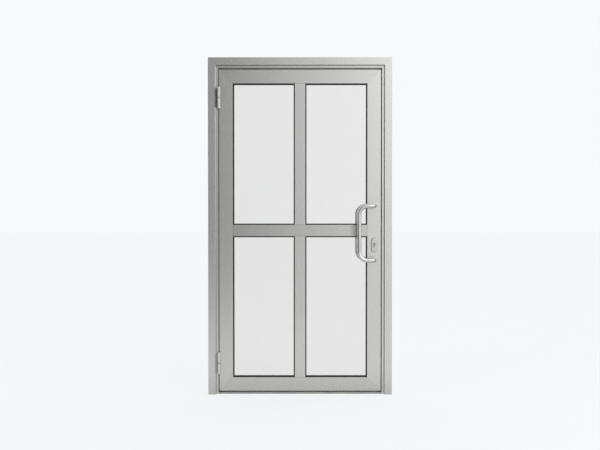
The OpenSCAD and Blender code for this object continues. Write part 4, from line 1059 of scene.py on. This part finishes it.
def strip(low, high, lip):
    """A bar with chamfered long edges: an eight-cornered section carried from one end to the other, and closed."""
    y, z = (high[1] - low[1]) / 2, (high[2] - low[2]) / 2
    section = np.array([(-y, -z + lip), (-y + lip, -z), (y - lip, -z), (y, -z + lip),
                        (y, z - lip), (y - lip, z), (-y + lip, z), (-y, z - lip)])
    ends = np.array([low[0], low[0], high[0], high[0]])
    scale = np.array([0.0, 1.0, 1.0, 0.0])
    middle = np.array([(low[1] + high[1]) / 2, (low[2] + high[2]) / 2])
    across = middle + section[None] * scale[:, None, None]
    along = np.broadcast_to(ends[:, None, None], (len(ends), len(section), 1))
    faces = grid_faces(len(ends), len(section), close_columns=True)
    return np.concatenate([along, across], axis=-1).reshape(-1, 3), faces


brush_low, brush_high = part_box("bottom_brush")
strip_low = brush_high.z - STRIP_HEIGHT
strip_points, strip_faces = strip((brush_low.x, brush_low.y, strip_low), tuple(brush_high), STRIP_CHAMFER)
print("strip", round(brush_high.x - brush_low.x, 3), "m long")

# %% [markdown]
# ## Bristles
#
# The bristles end a hair above the threshold. A hair system would be heavy for so small a piece, and the export can't
# take hair. So every tuft is a thin tapered rod with four sides, and one array holds them all, with a small lean and a
# tip of its own for each.

# %% Bristles
BRISTLE_PITCH = 0.0016
BRISTLE_ROWS = (-0.0016, 0.0, 0.0016)
BRISTLE_HALF = 0.0006
BRISTLE_TAPER = 0.45
BRISTLE_LEAN = 0.0007
TIP_SCATTER = 0.0006
ROOT_SUNK = 0.0004
END_MARGIN = 0.001
BRISTLE_SEED = 7


def bristles(low, high, root):
    """Tapered rods on a row grid. A rod is four rings of four points, from a pinched root to a pinched tip.

    A point is stand + share*lean + width*corner, at a height that goes from the root to the tip by the same share."""
    count = int((high.x - low.x - 2 * END_MARGIN) / BRISTLE_PITCH)
    along = low.x + END_MARGIN + BRISTLE_PITCH * (np.arange(count) + 0.5)
    stand = np.stack(np.meshgrid(along, np.array(BRISTLE_ROWS), indexing="ij"), axis=-1).reshape(-1, 2)
    dice = np.random.default_rng(BRISTLE_SEED)
    lean = dice.uniform(-BRISTLE_LEAN, BRISTLE_LEAN, (len(stand), 2))
    tip = low.z + dice.uniform(0.0, TIP_SCATTER, len(stand))
    corner = np.array([(-1, -1), (1, -1), (1, 1), (-1, 1)]) * BRISTLE_HALF
    share = np.array([0.0, 0.0, 1.0, 1.0])
    width = np.array([0.0, 1.0, BRISTLE_TAPER, 0.0])
    flat = stand[:, None] + share[None, :, None] * lean[:, None]
    flat = flat[:, :, None] + width[None, :, None, None] * corner[None, None]
    rings, sides = len(share), len(corner)
    height = root + share[None] * (tip - root)[:, None]
    height = np.broadcast_to(height[:, :, None, None], (len(stand), rings, sides, 1))
    points = np.concatenate([flat, height], axis=-1)
    step = rings * sides * np.arange(len(stand))
    faces = grid_faces(rings, sides, close_columns=True)[None] + step[:, None, None]
    return points.reshape(-1, 3), faces.reshape(-1, 4)[:, ::-1]


rod_points, rod_faces = bristles(brush_low, brush_high, strip_low + ROOT_SUNK)
new_piece("door_brush", np.concatenate([strip_points, rod_points]),
          np.concatenate([strip_faces, rod_faces + len(strip_points)]), black_nylon, "leaf", "nylon", "bottom_brush",
          smooth=False)

# %% [markdown]
# ## Floor finish
#
# The door stands on a wide pale sheet before white. Plain white paper would turn grey towards the back and show a
# horizon, so the camera, also through the glass, sees mostly a flat white on it. A share of plain paper is left, which
# takes the door's shadow.
#
# Metal mirrors the floor in front of it. For those rays the sheet is bright, a little dimmer close to the door, and
# grey in a wedge that opens to the left front, as in a studio with its bright side at the right. The wedge's point
# lies behind the door, and its grey deepens with the distance from the door.

# %% Floor finish
SEEN_WHITE = (0.925, 0.953, 0.962)
FLOOR_COLOUR = (0.94, 0.95, 0.955)
WHITE = (1.0, 1.0, 1.0)
SEEN_SHARE = 0.80
MIRRORED_SHARE = 0.9
FLOOR_SHEEN = 0.87
FLOOR_SHADE = 0.12
GREY_EDGE = (0.10, -0.12)
WEDGE_POINT = 5.8
WEDGE_FADE = (0.0, -11.0)
DOOR_DIMS = (-0.1, -0.9, 0.72, 1.0)


def seen_rays(tree):
    """Light Path's outputs, and a mask of the rays that show the surroundings: the camera's, also through glass."""
    path = put(tree, "ShaderNodeLightPath").outputs
    return path, calc(tree, "MAXIMUM", path["Is Camera Ray"], path["Is Transmission Ray"])


pale_floor = bpy.data.materials.new("pale_floor")
tree = empty_tree(pale_floor)
path, seen = seen_rays(tree)
diffuse = put(tree, "ShaderNodeBsdfDiffuse", {"Color": FLOOR_COLOUR})
glow = put(tree, "ShaderNodeEmission", {"Color": SEEN_WHITE, "Strength": 1.0})
mixed = put(tree, "ShaderNodeMixShader", {0: times(tree, seen, SEEN_SHARE), 1: diffuse.outputs[0], 2: glow.outputs[0]})
x, y, z = split(tree, put(tree, "ShaderNodeTexCoord").outputs["Object"])
left = ramp(tree, calc(tree, "DIVIDE", x, calc(tree, "SUBTRACT", WEDGE_POINT, y)), *GREY_EDGE)
wedge = times(tree, left, ramp(tree, y, *WEDGE_FADE, smooth=False))
sheen = ramp(tree, wedge, 0.0, 1.0, FLOOR_SHEEN, FLOOR_SHADE, smooth=False)
mirrored = put(tree, "ShaderNodeEmission",
               {"Color": WHITE, "Strength": times(tree, sheen, ramp(tree, y, *DOOR_DIMS))})
share = times(tree, calc(tree, "SUBTRACT", path["Is Glossy Ray"], seen), MIRRORED_SHARE)
mixed = put(tree, "ShaderNodeMixShader",
            {0: calc(tree, "MAXIMUM", share, 0.0), 1: mixed.outputs[0], 2: mirrored.outputs[0]})
put(tree, "ShaderNodeOutputMaterial", {"Surface": mixed.outputs[0]})
print("finish", pale_floor.name)

# %% [markdown]
# ## Floor sheet
#
# The sheet is a plain grid, so wide that no view meets its edge. A plane from the menu would do as well, but the grid
# helper is already here. It lies a hair below the door, so that the two never share a plane.

# %% Floor sheet
FLOOR_HALF = 40.0
FLOOR_LINES = 9
FLOOR_DEPTH = -0.0006
side = np.linspace(-FLOOR_HALF, FLOOR_HALF, FLOOR_LINES)
floor_x, floor_y = np.meshgrid(side, side)
floor_points = np.stack([floor_x, floor_y, np.full_like(floor_x, FLOOR_DEPTH)], axis=-1).reshape(-1, 3)
floor_mesh = bpy.data.meshes.new("floor_sheet")
floor_mesh.from_pydata(floor_points.tolist(), [], grid_faces(FLOOR_LINES, FLOOR_LINES).tolist())
floor_mesh.materials.append(pale_floor)
floor = bpy.data.objects.new("floor_sheet", floor_mesh)
bpy.context.scene.collection.objects.link(floor)
print("floor", 2 * FLOOR_HALF, "m wide")

# %% [markdown]
# ## Studio
#
# The world is white wherever the camera looks at it, also through the glass. Satin metal shows what stands in front
# of it, blurred, so for all other rays the world is a studio: bright all round, brighter at the right, dimmer above,
# and grey at the left front between floor and ceiling, with a weaker gleam at the far left. That gives the bars most
# of their slow change from grey to silver, and the tones set for single bars above give the rest. Painting all of it on
# the bars would be quicker, but it would stay on them when the leaf swings, while the studio's share changes as a bar
# turns.

# %% Studio
STUDIO_BRIGHT = 1.25
STUDIO_GREY = 0.08
STUDIO_RIGHT = (0.10, 0.60, 1.0, 1.12)
STUDIO_ABOVE = (0.35, 0.85, 1.0, 0.7)
GREY_FLOOR = (-0.20, -0.02)
GREY_CEILING = (0.75, 0.35)
GREY_BACK = (0.95, 0.70)
GLEAM_LEFT = (-0.45, -0.72)
GLEAM_FRONT = (0.05, -0.25)
GLEAM_SHARE = 0.65
world = bpy.data.worlds.new("studio")
bpy.context.scene.world = world
tree = empty_tree(world)
x, y, z = split(tree, put(tree, "ShaderNodeTexCoord").outputs["Generated"])
gleam = times(tree, ramp(tree, x, *GLEAM_LEFT), ramp(tree, y, *GLEAM_FRONT), GLEAM_SHARE)
grey = times(tree, ramp(tree, x, *GREY_EDGE), calc(tree, "SUBTRACT", 1.0, gleam), ramp(tree, y, *GREY_BACK),
             ramp(tree, z, *GREY_FLOOR), ramp(tree, z, *GREY_CEILING))
level = times(tree, ramp(tree, grey, 0.0, 1.0, STUDIO_BRIGHT, STUDIO_GREY, smooth=False),
              ramp(tree, x, *STUDIO_RIGHT), ramp(tree, z, *STUDIO_ABOVE))
lit = put(tree, "ShaderNodeBackground", {"Color": WHITE, "Strength": level})
shown = put(tree, "ShaderNodeBackground", {"Color": SEEN_WHITE, "Strength": 1.0})
path, seen = seen_rays(tree)
mixed = put(tree, "ShaderNodeMixShader", {0: seen, 1: lit.outputs[0], 2: shown.outputs[0]})
put(tree, "ShaderNodeOutputWorld", {"Surface": mixed.outputs[0]})
print("studio", STUDIO_GREY, "to", STUDIO_BRIGHT)

# %% [markdown]
# ## Lamp
#
# One soft lamp stands high on the right, in front of the door. The studio alone would light the door from all sides
# and leave it flat. A small lamp would draw hard shadows, so this one is as wide as two doors: it rounds the hinges and
# the handles, and draws soft lines along the stepped frame.

# %% Lamp
LAMP_PLACE = Vector((2.8, -3.6, 4.0))
LAMP_AIM = Vector((0, 0, 1.1))
LAMP_SIZE = 4.0
LAMP_WATTS = 30
light = bpy.data.lights.new("key_lamp", "AREA")
light.shape = "SQUARE"
light.size = LAMP_SIZE
light.energy = LAMP_WATTS
lamp = bpy.data.objects.new("key_lamp", light)
lamp.location = LAMP_PLACE
lamp.rotation_euler = (LAMP_AIM - LAMP_PLACE).to_track_quat("-Z", "Y").to_euler()
lamp.visible_camera = False
bpy.context.scene.collection.objects.link(lamp)
print("lamp", LAMP_WATTS, "W")

# %% [markdown]
# ## Finish
#
# The picture is shown plainly, with no filmic look, so a colour comes out as it was written.

# %% Finish
bpy.context.scene.view_settings.view_transform = "Standard"
